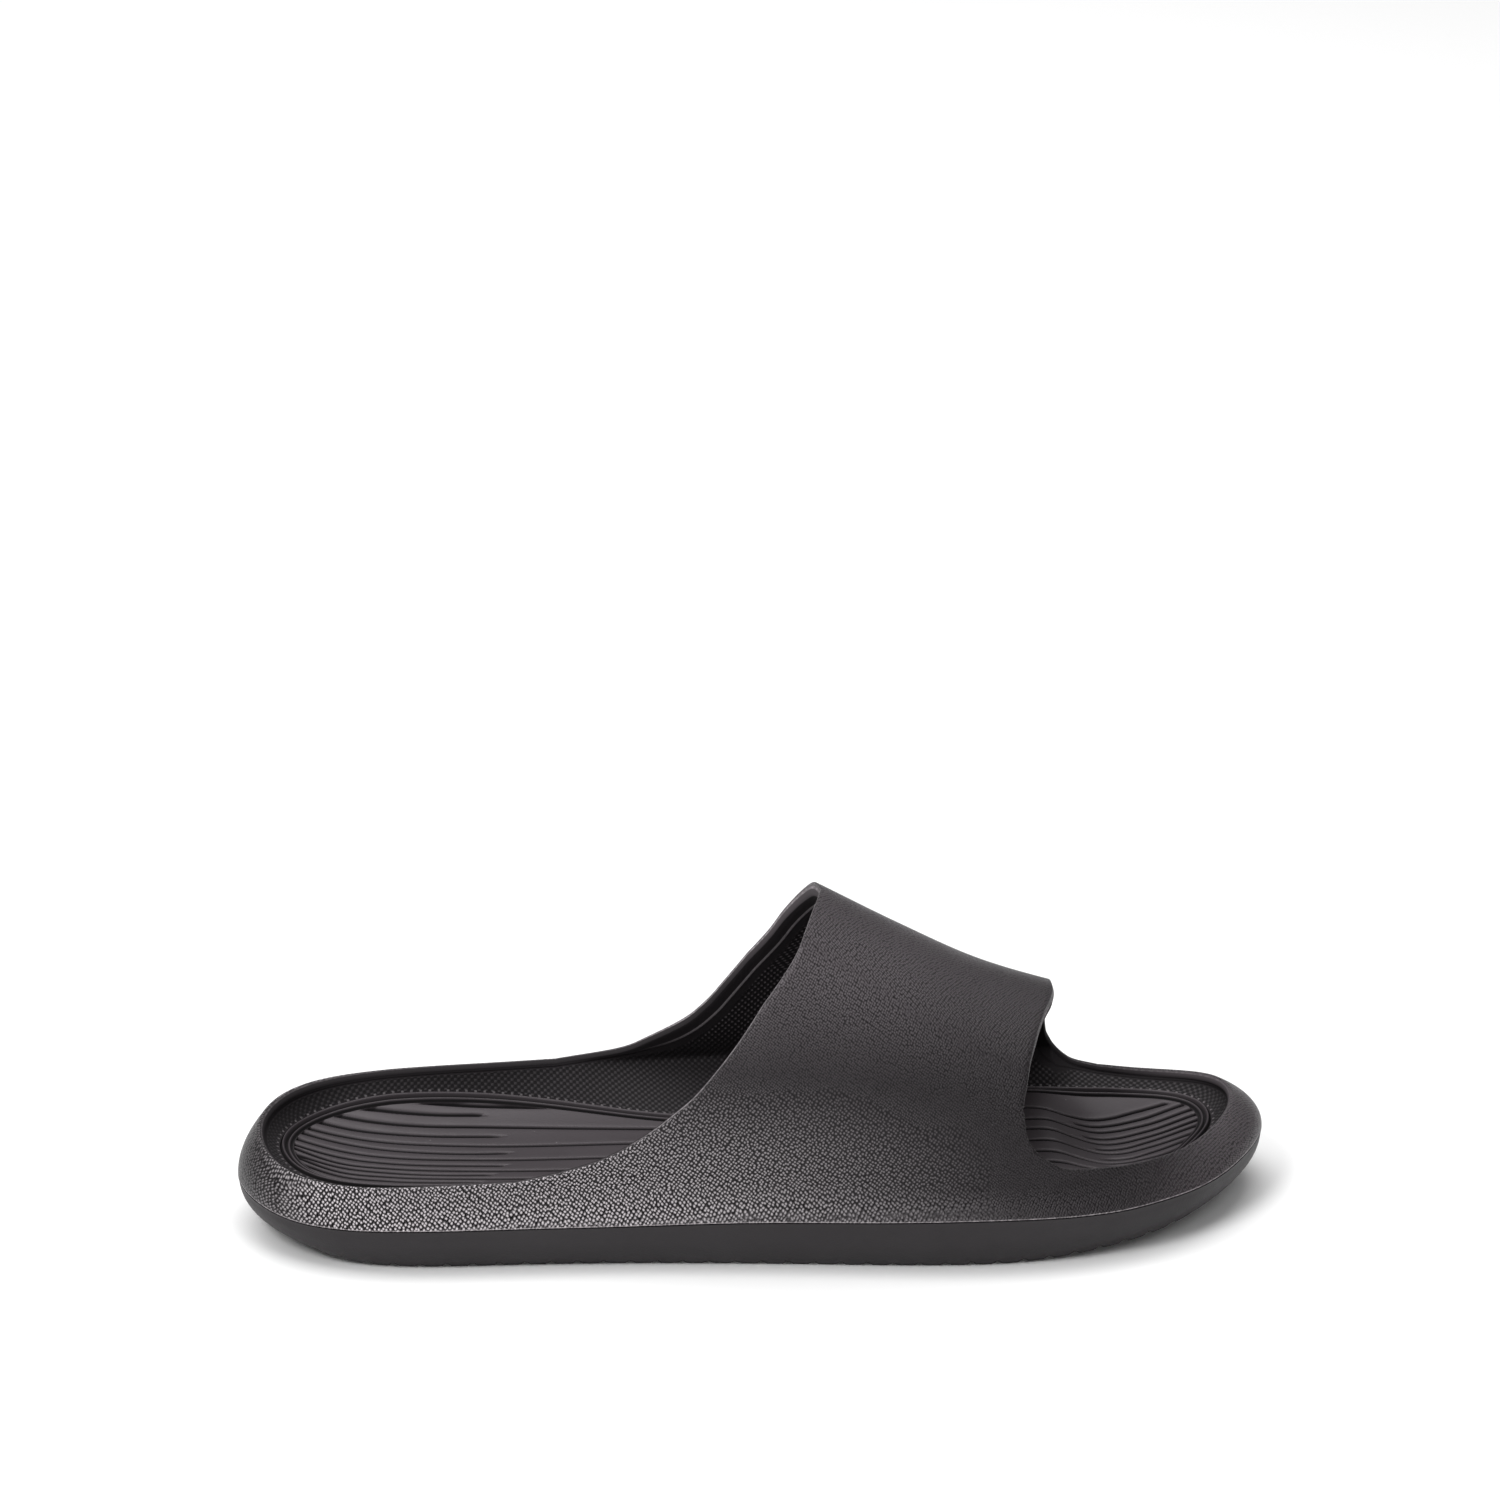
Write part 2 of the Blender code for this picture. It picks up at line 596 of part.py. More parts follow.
def build_footbed(form, material, collection):
    """The footbed: a dished insert with a bead round it and grooves along it."""
    finder = PlanFinder(form)
    low, high = footbed_sections(form)
    rise = high - low
    width = np.linalg.norm(rise, axis=1)
    edge = BEAD_WIDTH * np.linspace(0.0, 1.0, BEAD_COLUMNS + 1)
    lines = (np.arange(GROOVES) + 1.0) / (GROOVES + 1.0)
    full_width = 2.0 * BEAD_WIDTH + GROOVES * RIB_ROOM * GROOVE_WIDTH
    sections = []
    for i in range(len(low)):
        squeeze = min(1.0, width[i] / full_width)
        border = edge * squeeze
        panel = width[i] - 2.0 * border[-1]
        offsets = []
        depths = []
        half = 0.5 * GROOVE_WIDTH * squeeze
        for line in lines:
            centre = border[-1] + line * panel
            offsets += [centre - half, centre, centre + half]
            depths += [0.0, 1.0, 0.0]
        offsets = np.concatenate((border, offsets, width[i] - border[::-1]))
        depths = np.concatenate((np.zeros(len(border)), depths, np.zeros(len(border))))
        share = offsets / max(width[i], SEAT_GAP)
        plan = low[i] + rise[i] * share[:, None]
        from_heel = plan[:, 0] + 0.5 * LENGTH
        height = bed_surface(finder, from_heel, plan[:, 1])
        fade = smoothstep((squeeze - GROOVE_FADE) / (1.0 - GROOVE_FADE))
        height = height - depths * GROOVE_DEPTH * fade
        top = np.column_stack((plan[:, 0], plan[:, 1], height))
        seat = top[[-1, 0]]
        seat[:, 2] = parting_height(from_heel[[-1, 0]]) + 0.5 * SEAT_GAP
        sections.append(np.vstack((top, seat, top[:1])))
    mesh = bmesh.new()
    add_sheet(mesh, np.array(sections))
    return finish_mesh("footbed", mesh, material, collection)


def sole_stations():
    """Places along the sole: three for each tread groove, and how deep each one is cut."""
    count = int(round(LENGTH * (TREAD_TO - TREAD_FROM) / TREAD_PITCH))
    start = TREAD_FROM * LENGTH
    x, depth = [], []
    for groove in range(count):
        centre = start + (groove + 0.5) * TREAD_PITCH
        x += [centre - 0.5 * TREAD_GROOVE, centre, centre + 0.5 * TREAD_GROOVE]
        depth += [0.0, 1.0, 0.0]
    heel = x[0] * np.linspace(0.0, 1.0, END_STATIONS + 1)[:-1] ** 2
    toe = LENGTH - (LENGTH - x[-1]) * np.linspace(1.0, 0.0, END_STATIONS + 1)[1:] ** 2
    stations = np.concatenate((heel, x, toe))
    depths = np.concatenate((np.zeros(len(heel)), depth, np.zeros(len(toe))))
    return stations, depths


def build_sole(form, material, collection):
    """The sole: a flat seat, a smooth rounded band and a wavy tread across the bottom."""
    stations, depths = sole_stations()
    outer = form.place_at(-1, stations)
    inner = form.place_at(1, stations)
    outer[0], outer[-1] = form.half(-1)
    inner[0], inner[-1] = form.half(1)
    flat = np.linspace(0.0, 1.0, 4 * TREAD_WAVES + 1)[1:-1]
    wave = TREAD_WAVE * (1.0 - np.abs(np.mod(2.0 * TREAD_WAVES * flat, 2.0) - 1.0))
    sides = []
    for place in (outer, inner):
        ribs = Ribs(form, place[:, None])
        down = 1.0 - np.linspace(1.0, 0.0, BAND_ROWS + 1)[None, :] ** BAND_SPACING
        inset = BAND_TUCK * down ** BAND_ROUND
        bottom = bottom_height(ribs.ground(BAND_TUCK))
        seat = ribs.parting - 0.5 * SEAT_GAP
        height = seat + (bottom - seat) * down
        cut = TREAD_DEPTH * EDGE_CUT * depths[:, None] * (down == 1.0)
        sides.append(ribs.points(inset, height + cut))
    run = sides[1][:, -1] - sides[0][:, -1]
    across = sides[0][:, None, -1] + run[:, None] * flat[None, :, None]
    room = smoothstep(run[:, 1] / (0.5 * HEEL_WIDTH))
    across[:, :, 0] += wave[None, :] * room[:, None]
    across[:, :, 2] = bottom_height(across[:, :, 0] + 0.5 * LENGTH)
    across[:, :, 2] += TREAD_DEPTH * depths[:, None]
    sections = np.concatenate((sides[0], across, sides[1][:, ::-1], sides[0][:, :1]), axis=1)
    mesh = bmesh.new()
    add_sheet(mesh, sections, True)
    return finish_mesh("sole", mesh, material, collection)


def make_material(name, color, roughness):
    """A plain moulded foam material."""
    material = bpy.data.materials.new(name)
    material.use_nodes = True
    shader = material.node_tree.nodes["Principled BSDF"]
    shader.inputs["Base Color"].default_value = (*color, 1.0)
    shader.inputs["Roughness"].default_value = roughness
    shader.inputs["Metallic"].default_value = 0.0
    return material


def main():
    clear_scene()
    collection = bpy.data.collections.new("slide_sandal")
    bpy.context.scene.collection.children.link(collection)
    form = Outline()
    build_sole(form, make_material("black foam, smooth", BLACK_SMOOTH, 0.55), collection)
    build_footbed(form, make_material("black foam, satin", BLACK_SATIN, 0.45), collection)
    build_upper(form, make_material("black foam, grained", BLACK_GRAIN, 0.50), collection)


main()
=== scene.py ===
"""Slide sandal, right shoe: grained upper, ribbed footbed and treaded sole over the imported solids.

Metres, +Z up, +X towards the toe, +Y towards the inner side of the foot. The origin is on the
floor, under the middle of the shoe. Each piece is a surface worked out from the named sizes.
"""

import bmesh
import bpy
import numpy as np
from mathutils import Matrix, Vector


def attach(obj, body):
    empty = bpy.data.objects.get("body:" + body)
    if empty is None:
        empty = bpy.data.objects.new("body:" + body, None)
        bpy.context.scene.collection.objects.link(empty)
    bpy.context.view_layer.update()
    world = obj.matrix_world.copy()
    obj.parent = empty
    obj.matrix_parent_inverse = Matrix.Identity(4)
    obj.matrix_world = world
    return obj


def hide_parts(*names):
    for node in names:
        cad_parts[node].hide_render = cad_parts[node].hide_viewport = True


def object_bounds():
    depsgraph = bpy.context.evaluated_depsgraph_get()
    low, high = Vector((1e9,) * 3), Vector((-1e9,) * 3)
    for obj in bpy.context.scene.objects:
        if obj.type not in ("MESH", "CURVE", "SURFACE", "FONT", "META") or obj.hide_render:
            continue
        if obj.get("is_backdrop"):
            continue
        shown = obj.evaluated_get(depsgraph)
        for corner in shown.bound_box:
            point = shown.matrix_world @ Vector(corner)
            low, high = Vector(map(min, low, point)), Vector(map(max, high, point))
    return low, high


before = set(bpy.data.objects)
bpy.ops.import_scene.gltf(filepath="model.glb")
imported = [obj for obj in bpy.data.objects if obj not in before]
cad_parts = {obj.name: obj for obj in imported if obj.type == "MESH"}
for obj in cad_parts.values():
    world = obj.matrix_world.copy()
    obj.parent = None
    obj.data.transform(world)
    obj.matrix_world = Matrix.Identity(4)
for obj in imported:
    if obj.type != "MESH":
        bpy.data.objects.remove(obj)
CAD_LOW, CAD_HIGH = (tuple(corner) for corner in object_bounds())

bl_info = {
    "name": "Slide Sandal",
    "version": (1, 0, 0),
    "blender": (4, 5, 0),
    "location": "View3D > Sidebar > Sandal",
    "description": "Builds the upper, footbed and sole of a moulded slide sandal and a plain stage",
    "category": "Object",
}

# Walls and edges, in metres
WALL_BLEND = 0.0200
EDGE_ROUND = 0.0005
RING_WIDTH = 0.0120
SIDE_LEAN = 0.0055
TOE_LEAN = 0.0080
CREASE_HEIGHT = 0.0100
RIDGE_OFFSET = 0.0030
SEAT_GAP = 0.0003
TOE_DIP = 0.0038

# Footbed border: a raised round, a channel, a lower second round and a second channel
BEAD_BAND = 0.0036
BEAD_ROUND = 0.0011
BEAD_CHANNEL = 0.0015
SECOND_ROUND = 0.0009
SECOND_RISE = 0.55
SECOND_CHANNEL = 0.0030
CHANNEL_WIDTH = 0.0008
CHANNEL_DEPTH = 0.0006
JOINT_WIDTH = 0.0005
BORDER_LIMIT = 0.98
RIB_CROWN = 0.15
RIB_SPREAD = 2.0

# Sole band and tread. The tread runs between two shares of the length, its grooves have a flat
# floor and get shallow at the band, and the rows of faces stand closer at the heel and toe.
BAND_TUCK = 0.0062
BAND_ROUND = 2.3
TREAD_GROOVE = 0.0024
TREAD_FLOOR = 0.25
TREAD_WAVE = 0.0030
TREAD_WAVES = 3
EDGE_CUT = 0.4
TREAD_FROM = 0.035
TREAD_TO = 0.965
TREAD_FADE = 0.04
NOTCH_FROM = 0.86
END_CROWDING = 0.3
LEDGE = 0.00025
LEDGE_HEIGHT = 0.0008

# Outside, the grain runs this far over the rim, to a rubbed line of this width, painted pale
# partly as wear and partly as a painted highlight. Inside, the lining pattern keeps off a
# smooth lip, which is narrow under the rim and widens on the strap.
GRAIN_OVER = 0.0016
RUB_AND_HIGHLIGHT_LINE = 0.0004
LINING_LIP = 0.0034
RIM_LIP = 0.0008
LIP_WIDENS = 0.15
LINING_BORDER = 0.0009

# Heights of the pebbles, of the lining's dots and of the lip over the lining
GRAIN_RELIEF = 0.00013
LINING_RELIEF = 0.00011
LIP_RISE = 0.00020

# The pebbles' radius and unevenness as shares of their pitch, the turn of their rows in
# radians, and how far the rows wander, with how many bends in a metre
PEBBLE_REACH = 0.58
PEBBLE_SCATTER = 0.42
ROW_TURN = 0.62
ROW_WANDER = 0.0009
ROW_BENDS = 240.0

# The grain is crisp low on the heel side, and soft and smaller above, on the toe side and at
# the heel's back; where it is crisp, the pebble tops also get a painted highlight. Noise makes
# the line where its size changes ragged.
CRISP_BELOW = (0.018, 0.062)
CRISP_BEFORE = (-0.055, 0.085)
CRISP_AFTER = (-0.148, -0.120)
SOFT_SIZE = 0.74
RAGGED_BY = 0.4
RAGGED_AT = 0.30

# Waves in a metre of the grain's patches and of the spots in the pale lines on the rim and the flash
PATCHES = 26.0
SPOTS = 900.0

# Rise and fall of the rubbed line, pale partly from wear and partly as a painted highlight, of
# the painted highlight on the step of the lip and of the studs, as shares of the line's width,
# the lip's width and the studs' top; and how pale the dots are painted as highlights and how
# pale the studs are made
RUB_AND_HIGHLIGHT_BAND = ((0.0, 0.3), (1.0, 1.6))
LIP_STEP = ((0.80, 0.88), (0.98, 1.08))
STUD_BAND = ((0.3, 0.6), (0.9, 1.3))
DOT_HIGHLIGHT = 0.3
STUD_PALENESS = 0.35

# Where, on the way from a pebble's middle, its painted highlight ends and its top ends, past
# which its gap gets painted shade, and where, from trough to top of their waves, the lining's
# dots rise
HIGHLIGHT_ENDS = (0.10, 0.46)
TOP_ENDS = (0.30, 0.60)
DOT_SIDES = (-0.5, 0.9)

# Least painted highlight, on plain foam and on foam with the painted sheen; height of soft
# grain, how much of the painted shade in its gaps it loses, and the heights that the grain has
# from patch to patch
LEAST_HIGHLIGHT = (0.04, 0.12)
SOFT_RELIEF = 0.75
SOFT_SHADE_EASE = 0.08
PATCH_RELIEF = (0.85, 1.1)
NOISE_RANGE = (0.3, 0.7)

# Roughness of soft and of crisp grain, and of the lining between its dots and on them
GRAIN_ROUGHNESS = (0.38, 0.27)
LINING_ROUGHNESS = (0.85, 0.50)

# The skin of the footbed and of the band: waves in a metre and detail of its haze, the haze's
# height in metres, waves in a metre of its patches, and the least and greatest roughness
SATIN_SKIN = ((2200.0, 2.0), 0.00002, 60.0, (0.40, 0.50))
BAND_SKIN = ((1800.0, 3.0), 0.00007, 45.0, (0.50, 0.60))
DUST_SPECKS = 110.0
DUST_ENDS = (0.015, 0.030)
GROOVE_MATTE = 0.45

# Shares of the foam's colour left as painted shade in the gaps of the grain and of the lining's
# dots, and far down in the footbed's grooves, and the shine and its tint of the grained and
# satin foam, and of the sole's band
GAP_SHADE = 0.10
GROOVE_SHADE = 0.04
FOAM_SHINE = 0.35
FOAM_TINT = (1.0, 0.94, 0.98, 1.0)
BAND_SHINE = 0.40

# Painted sheen: high on the strap and at the toe tip the foam is painted a little lighter, as
# the light from above falls there
SHEEN_ABOVE = (0.045, 0.082)
SHEEN_AFTER = (0.096, 0.136)

# Row of small studs where the lining meets the footbed, the thin flash at the parting line,
# which is painted pale as a highlight, and the heights between which the rubbed lines and the
# painted highlights inside grow pale
STUD_PITCH = 0.0026
STUD_TOP = 0.0009
FLASH_HEIGHT = 0.0004
RUB_AND_HIGHLIGHT_FROM = 0.032
RUB_AND_HIGHLIGHT_TO = 0.042

# Where the ribs of the form fan out from, where the outline widens from the heel's width to
# the ball's, and where the toe's steeper lean starts and ends, as shares of the length
HEEL_CENTRE = 0.15
TOE_CENTRE = 0.86
WIDEN_FROM = 0.30
WIDEN_TO = 0.60
TOE_LEAN_FROM = 0.76
TOE_LEAN_TO = 0.90

# How steeply the inner slopes and the dish fall, and the spacing of the rows of faces
SLOPE_HOLLOW = 1.2
DISH_HOLLOW = 2.2
OUTER_SPACING = 1.2
INNER_SPACING = 1.6
BAND_SPACING = 1.6
SLOPE_LIMIT = 1e-6
FACING_POWER = 20
TINY = 1e-12

# Rows and columns of faces
OUTLINE_SCAN = 8001
HEEL_COLUMNS = 70
EDGE_COLUMNS = 44
STRAP_COLUMNS = 48
TOE_COLUMNS = 72
LOWER_ROWS = 30
STRAP_ROWS = 42
RIM_ROWS = 8
EDGE_PARTS = 4
BED_STATIONS = 240
BEAD_COLUMNS = 26
PANEL_COLUMNS = 290
SOLE_STATIONS = 460
BAND_ROWS = 22
TREAD_COLUMNS = 48
WELD = 0.000004
SHARP_ANGLE = 0.9

# Round the outline, from the heel back along the outer side to the toe and back along the
# inner side. Along is a share of the length; across of half the local width; crest of the
# rim height; ring of the ring width; border of the bed height. Roll is 0 where the wall flares
# out to the sole and 1 where it rises straight and rolls in over the rim.
PERIMETER = (
    # place, along, across, crest, ring, border, roll
    ("heel back", 0.000, 0.00, 1.10, 1.00, 1.10, 1.0),
    ("heel corner, outer", 0.034, -0.63, 0.95, 0.92, 1.05, 0.9),
    ("heel, outer", 0.121, -0.97, 0.92, 0.88, 1.04, 0.4),
    ("heel end, outer", 0.259, -1.04, 0.96, 0.88, 1.05, 0.0),
    ("arch, outer", 0.414, -1.01, 0.98, 0.92, 1.06, 0.0),
    ("waist, outer", 0.569, -0.96, 0.98, 1.00, 1.05, 0.0),
    ("ball, outer", 0.690, -1.01, 0.98, 1.17, 1.02, 0.0),
    ("little toe", 0.800, -0.95, 0.98, 1.17, 0.96, 0.1),
    ("toe, outer", 0.903, -0.69, 0.94, 1.08, 0.92, 0.5),
    ("toe corner, outer", 0.972, -0.25, 0.97, 1.12, 0.91, 0.9),
    ("toe tip", 1.000, 0.17, 1.05, 1.25, 0.93, 1.0),
    ("toe corner, inner", 0.983, 0.54, 1.03, 1.25, 0.95, 0.9),
    ("big toe", 0.914, 0.82, 0.94, 1.25, 0.93, 0.6),
    ("ball front, inner", 0.786, 0.99, 0.92, 1.54, 0.93, 0.1),
    ("ball, inner", 0.655, 0.99, 0.95, 1.67, 1.00, 0.0),
    ("waist, inner", 0.517, 0.91, 1.15, 2.25, 1.02, 0.0),
    ("arch, inner", 0.448, 0.94, 1.24, 2.35, 1.02, 0.0),
    ("arch end, inner", 0.379, 0.99, 1.27, 1.88, 1.04, 0.0),
    ("heel end, inner", 0.259, 1.01, 1.24, 1.08, 1.15, 0.1),
    ("heel, inner", 0.121, 0.96, 1.20, 1.00, 1.19, 0.4),
    ("heel corner, inner", 0.034, 0.63, 1.19, 1.00, 1.10, 0.9),
)

# The two edges of the strap on each side. Turn is the share of a quarter turn from the rim's
# crest up to the ridge; the others are shares of the length.
STRAP_EDGES = (
    # turn, collar outer, collar inner, front outer, front inner
    (0.00, 0.264, 0.312, 0.838, 0.852),
    (0.02, 0.308, 0.374, 0.788, 0.829),
    (0.05, 0.349, 0.404, 0.771, 0.818),
    (0.10, 0.387, 0.439, 0.756, 0.808),
    (0.15, 0.415, 0.460, 0.747, 0.802),
    (0.20, 0.438, 0.475, 0.744, 0.798),
    (0.30, 0.471, 0.501, 0.743, 0.795),
    (0.40, 0.497, 0.521, 0.748, 0.794),
    (0.50, 0.518, 0.534, 0.753, 0.793),
    (0.60, 0.534, 0.545, 0.760, 0.792),
    (0.70, 0.544, 0.553, 0.767, 0.791),
    (0.80, 0.552, 0.558, 0.775, 0.790),
    (0.90, 0.559, 0.561, 0.783, 0.789),
    (1.00, 0.564, 0.564, 0.788, 0.788),
)
SHOULDER = 6

# The ridge of the strap. Along is a share of the length; rise is the share of the way up
# from the strap's front height to the instep height.
RIDGE = (
    # along, rise
    (0.500, 1.32),
    (0.563, 1.00),
    (0.640, 0.60),
    (0.720, 0.22),
    (0.788, 0.00),
    (0.850, -0.14),
)

# Heights along the shoe, as shares of the parting height, the bed height, the toe dip, the
# heel lift and the toe spring.
LENGTHWISE = (
    # along, parting, bed, dip, heel, toe
    (0.00, 1.00, 1.02, 0.0, 1.00, 0.00),
    (0.05, 0.88, 1.00, 0.0, 0.80, 0.00),
    (0.10, 0.87, 0.99, 0.0, 0.24, 0.00),
    (0.15, 0.89, 0.98, 0.0, 0.04, 0.00),
    (0.21, 0.90, 0.97, 0.0, 0.00, 0.00),
    (0.36, 0.93, 0.98, 0.0, 0.00, 0.00),
    (0.48, 1.01, 0.98, 0.0, 0.00, 0.00),
    (0.60, 1.04, 0.98, 0.0, 0.00, 0.00),
    (0.72, 1.06, 0.98, 0.0, 0.00, 0.00),
    (0.76, 1.04, 0.98, 0.0, 0.00, 0.10),
    (0.79, 1.02, 0.97, 0.0, 0.00, 0.20),
    (0.81, 1.01, 0.96, 0.5, 0.00, 0.30),
    (0.83, 1.00, 0.96, 1.0, 0.00, 0.40),
    (0.88, 1.02, 0.94, 0.8, 0.00, 0.66),
    (0.94, 1.04, 0.93, 0.3, 0.00, 0.94),
    (1.00, 1.17, 0.93, 0.1, 0.00, 1.05),
)

# The footbed's grooves in plan, as pairs of along (a share of the length) and across (a share
# of the ball width). The heel's short ones start at the bead and stop between the long ones;
# the toe's short ones start behind the toe and run out to the bead.
GROOVE_LINES = (
    # long grooves, heel to toe
    ((0.050, -0.050), (0.100, -0.156), (0.145, -0.194), (0.230, -0.228), (0.320, -0.248),
     (0.550, -0.240), (0.780, -0.214), (0.840, -0.232), (0.880, -0.215), (0.910, -0.175)),
    ((0.046, 0.008), (0.100, -0.094), (0.145, -0.131), (0.230, -0.166), (0.320, -0.186),
     (0.550, -0.172), (0.776, -0.143), (0.838, -0.168), (0.866, -0.158), (0.903, -0.119),
     (0.930, -0.060)),
    ((0.048, 0.065), (0.100, -0.010), (0.145, -0.052), (0.230, -0.085), (0.355, -0.103),
     (0.550, -0.093), (0.768, -0.067), (0.831, -0.082), (0.855, -0.083), (0.892, -0.053),
     (0.945, 0.010)),
    ((0.052, 0.145), (0.100, 0.089), (0.145, 0.050), (0.233, 0.012), (0.383, -0.007),
     (0.550, -0.003), (0.768, 0.012), (0.828, -0.008), (0.852, -0.008), (0.897, 0.024),
     (0.950, 0.086)),
    ((0.078, 0.215), (0.132, 0.165), (0.178, 0.142), (0.231, 0.131), (0.341, 0.101),
     (0.406, 0.085), (0.550, 0.078), (0.769, 0.079), (0.823, 0.070), (0.845, 0.073),
     (0.886, 0.090), (0.945, 0.150)),
    ((0.530, 0.150), (0.640, 0.162), (0.765, 0.165), (0.813, 0.143), (0.827, 0.145),
     (0.855, 0.154), (0.883, 0.174), (0.910, 0.192)),
    # short grooves in the heel
    ((0.168, 0.252), (0.236, 0.230), (0.299, 0.218)),
    ((0.110, 0.230), (0.148, 0.212), (0.194, 0.195), (0.234, 0.190)),
    ((0.064, 0.180), (0.116, 0.124), (0.178, 0.088), (0.249, 0.072)),
    ((0.048, 0.115), (0.100, 0.043), (0.146, -0.002), (0.233, -0.041), (0.256, -0.043)),
    ((0.044, 0.030), (0.100, -0.053), (0.146, -0.095), (0.231, -0.127), (0.253, -0.133)),
    ((0.046, -0.030), (0.100, -0.122), (0.145, -0.163), (0.231, -0.198), (0.238, -0.199)),
    ((0.058, -0.100), (0.100, -0.187), (0.145, -0.226), (0.230, -0.258)),
    # short grooves in the toe
    ((0.818, 0.102), (0.846, 0.110), (0.881, 0.126), (0.925, 0.170)),
    ((0.825, 0.025), (0.855, 0.030), (0.891, 0.055), (0.948, 0.118)),
    ((0.832, -0.050), (0.859, -0.046), (0.894, -0.012), (0.948, 0.052)),
    ((0.835, -0.131), (0.861, -0.129), (0.890, -0.096), (0.935, -0.030)),
    ((0.836, -0.198), (0.865, -0.192), (0.905, -0.150)),
)

# Where the photograph was taken from, and along which line of sight
CAMERA_PLACE = (-0.11598, -1.46865, 0.64729)
CAMERA_SIGHT = (0.07335, 0.94176, -0.32818)
CAMERA_LENS = 136.55
CAMERA_SENSOR = 36.0

# Half the side of the floor, and the soft boxes that light the shoe
FLOOR_HALF = 6.0
SOFT_BOXES = (
    # name, place, what it looks at, size in metres, power in watts
    ("top_light", (-0.30, 0.95, 2.40), (0.0, 0.80, 0.0), 3.0, 80.0),
    ("front_light", (-1.28, -1.36, 1.84), (-0.06, 0.0, 0.02), 0.9, 33.0),
    ("fill_light", (0.90, -1.30, 1.90), (0.05, 0.0, 0.03), 1.2, 9.0),
)
WORLD_STRENGTH = 0.12
TABLE_GLOW = 0.03


def linear(hex_color):
    """Turn an sRGB hex colour into linear red, green and blue."""
    parts = [int(hex_color[i:i + 2], 16) / 255.0 for i in (1, 3, 5)]
    return tuple(p / 12.92 if p <= 0.04045 else ((p + 0.055) / 1.055) ** 2.4 for p in parts)


def length_property(name, description, default):
    """A length in metres that a user may change."""
    return bpy.props.FloatProperty(
        name=name, description=description, default=default, min=0.0, precision=5, unit="LENGTH",
    )


def color_property(name, description, hex_color):
    """A colour that a user may change, given as sRGB hex."""
    return bpy.props.FloatVectorProperty(
        name=name, description=description, default=linear(hex_color), size=3, min=0.0, max=1.0,
        subtype="COLOR",
    )


class SandalSizes(bpy.types.PropertyGroup):
    """Sizes of the sandal."""

    length: length_property("Length", "Outside length", CAD_HIGH[0] - CAD_LOW[0])
    ball_width: length_property("Ball width", "Width at the ball", CAD_HIGH[1] - CAD_LOW[1])
    heel_width: length_property("Heel width", "Width at the heel", 0.0825)
    instep_height: length_property("Instep height", "Height of the strap's rear end", 0.0935)
    strap_front: length_property("Strap front height", "Height of the strap's front end", 0.0618)
    parting: length_property("Parting height", "Height of the line over the sole", 0.0145)
    rim_height: length_property("Rim height", "Height of the rim", 0.0250)
    bed_height: length_property("Bed height", "Height of the footbed", 0.0205)
    heel_lift: length_property("Heel lift", "Lift of the sole at the heel's back edge", 0.0046)
    toe_spring: length_property("Toe spring", "Lift of the sole at the toe", 0.0050)
    strap_wall: length_property("Strap wall", "Thickness of the strap", 0.0040)
    rim_wall: length_property("Rim wall", "Thickness of the rim at its crest", 0.0024)
    bead_height: length_property("Bead height", "Height of the bead round the footbed", 0.0009)
    groove_width: length_property("Groove width", "Width of the footbed's grooves", 0.0014)
    groove_depth: length_property("Groove depth", "Depth of the footbed's grooves", 0.0014)
    tread_pitch: length_property("Tread pitch", "Distance between tread grooves", 0.0072)
    tread_depth: length_property("Tread depth", "Depth of the tread grooves", 0.0018)
    grain: length_property("Grain size", "Width of one pebble of the grain", 0.00090)
    lining: length_property("Lining pitch", "Distance between the lining's dots", 0.0019)


class SandalColors(bpy.types.PropertyGroup):
    """Colours of the sandal and its floor."""

    foam: color_property("Upper foam", "Grained foam of the upper", "#171416")
    # Painted highlight: the pale colour painted on the pebble tops where the grain is crisp
    highlighted: color_property("Pebble tops", "Foam where the grain is crisp and polished", "#cac4c7")
    # Painted sheen: the lighter foam painted high on the strap and at the toe tip
    painted_sheen: color_property("Painted sheen", "Foam high on the strap and at the toe", "#423d40")
    lining: color_property("Lining", "Foam of the dotted lining", "#151214")
    # Pale colour of dust and rubbed edges, and of painted highlights on edges, flash and dots
    dust_wear_and_highlight: color_property("Pale marks", "Pale foam of dust, wear and painted highlights", "#948e91")
    bed: color_property("Footbed foam", "Satin foam of the footbed", "#373235")
    band: color_property("Sole foam", "Smooth foam of the sole", "#231f22")
    floor: color_property("Floor", "The pale floor", "#f7f7f7")


def smoothstep(value):
    """Ease from 0 to 1 as the value goes from 0 to 1: three squares less two cubes."""
    share = np.clip(value, 0.0, 1.0)
    return share * share * (3.0 - 2.0 * share)


def column(table, index):
    """One column of a table, as numbers."""
    return np.array([row[index] for row in table], float)


def curve_through(places, values, at):
    """Smooth open curve: cubic pieces whose slopes are the table's own running slopes."""
    slopes = np.gradient(values, places)
    at = np.clip(at, places[0], places[-1])
    piece = np.clip(np.searchsorted(places, at, side="right") - 1, 0, len(places) - 2)
    step = places[piece + 1] - places[piece]
    t = (at - places[piece]) / step
    start = values[piece] * (1 + 2 * t) * (1 - t) ** 2 + slopes[piece] * step * t * (1 - t) ** 2
    end = values[piece + 1] * t * t * (3 - 2 * t) - slopes[piece + 1] * step * t * t * (1 - t)
    return start + end


